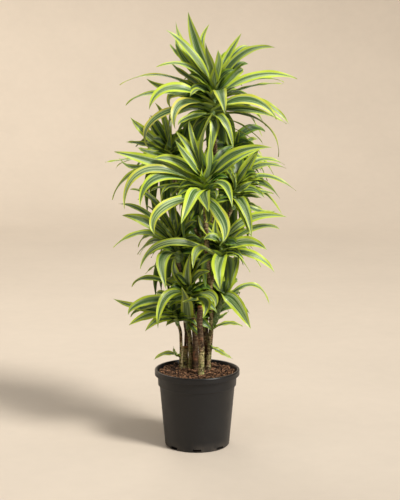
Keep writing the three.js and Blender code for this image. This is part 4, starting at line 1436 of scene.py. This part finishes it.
class BuildCompost(Operator):
    """Fill the pot with bark compost"""
    bl_idname = "dracaena.compost"
    bl_label = "Compost"

    def execute(self, context):
        look = context.scene.dracaena_compost
        build_compost(look, compost_material(look), np.random.default_rng(SEED))
        return {"FINISHED"}


class BuildCanes(Operator):
    """Build every cane and branch"""
    bl_idname = "dracaena.canes"
    bl_label = "Canes"

    def execute(self, context):
        look = context.scene.dracaena_cane
        bark = bark_material(look)
        for index, cane in enumerate(CANES):
            build_cane(cane, look, bark, np.random.default_rng([SEED, 1, index]))
        return {"FINISHED"}


class BuildCrowns(Operator):
    """Build every crown of leaves"""
    bl_idname = "dracaena.crowns"
    bl_label = "Crowns"

    def execute(self, context):
        look = context.scene.dracaena_leaf
        leaf = leaf_material("striped_leaf", look, look.margin, look.band)
        for index, crown in enumerate(CROWNS):
            build_crown(crown, look, leaf, np.random.default_rng([SEED, 2, index]))
        return {"FINISHED"}


class BuildShoots(Operator):
    """Build the new shoots low on the canes"""
    bl_idname = "dracaena.shoots"
    bl_label = "Shoots"

    def execute(self, context):
        look = context.scene.dracaena_leaf
        leaf = leaf_material("young_striped_leaf", look, look.young_margin, look.young_band)
        for index, shoot in enumerate(SHOOTS):
            build_shoot(shoot, look, leaf, np.random.default_rng([SEED, 3, index]))
        return {"FINISHED"}


class BuildStage(Operator):
    """Set the floor, the soft lights and the camera"""
    bl_idname = "dracaena.stage"
    bl_label = "Stage"

    def execute(self, context):
        look = context.scene.dracaena_stage
        build_floor(look)
        hang_light("key_light", "SUN", (2.8, -2.3, 4.0), PLANT_MIDDLE, look.key, (1.0, 0.96, 0.89),
                   angle=look.softness)
        soft_light("fill_light", (-3.2, -2.4, 1.8), PLANT_MIDDLE, 2.6, look.fill, (0.94, 0.97, 1.0))
        soft_light("low_light", (2.6, -2.2, 1.2), POT_MIDDLE, 1.6, look.low, (0.96, 0.98, 1.0))
        soft_light("top_light", (0.3, -0.6, 3.4), PLANT_MIDDLE, 2.0, look.top, (0.93, 0.97, 1.0))
        soft_light("back_light", (-0.8, 2.4, 3.4), PLANT_MIDDLE, 2.0, look.back, (1.0, 0.97, 0.9))
        light_room(context.scene, look.sky)
        place_camera()
        return {"FINISHED"}


OPERATORS = [BuildPot, BuildCompost, BuildCanes, BuildCrowns, BuildShoots, BuildStage]


class DracaenaPanel(Panel):
    """Lists the builders and the settings of each"""
    bl_idname = "VIEW3D_PT_dracaena"
    bl_label = "Potted Dracaena"
    bl_space_type = "VIEW_3D"
    bl_region_type = "UI"
    bl_category = "Dracaena"

    def draw(self, context):
        for operator in OPERATORS:
            self.layout.operator(operator.bl_idname)
        for key, settings in SETTINGS.items():
            box = self.layout.box()
            box.label(text=key.removeprefix("dracaena_").title())
            for name in settings.__annotations__:
                box.prop(getattr(context.scene, key), name)


CLASSES = [*SETTINGS.values(), *OPERATORS, DracaenaPanel]


def register():
    for kind in CLASSES:
        bpy.utils.register_class(kind)
    for key, settings in SETTINGS.items():
        setattr(bpy.types.Scene, key, PointerProperty(type=settings))


def unregister():
    for key in SETTINGS:
        delattr(bpy.types.Scene, key)
    for kind in reversed(CLASSES):
        bpy.utils.unregister_class(kind)


def main():
    """Builds everything in order."""
    register()
    bpy.ops.dracaena.pot()
    bpy.ops.dracaena.compost()
    bpy.ops.dracaena.canes()
    bpy.ops.dracaena.crowns()
    bpy.ops.dracaena.shoots()
    bpy.ops.dracaena.stage()


if __name__ == "__main__":
    main()
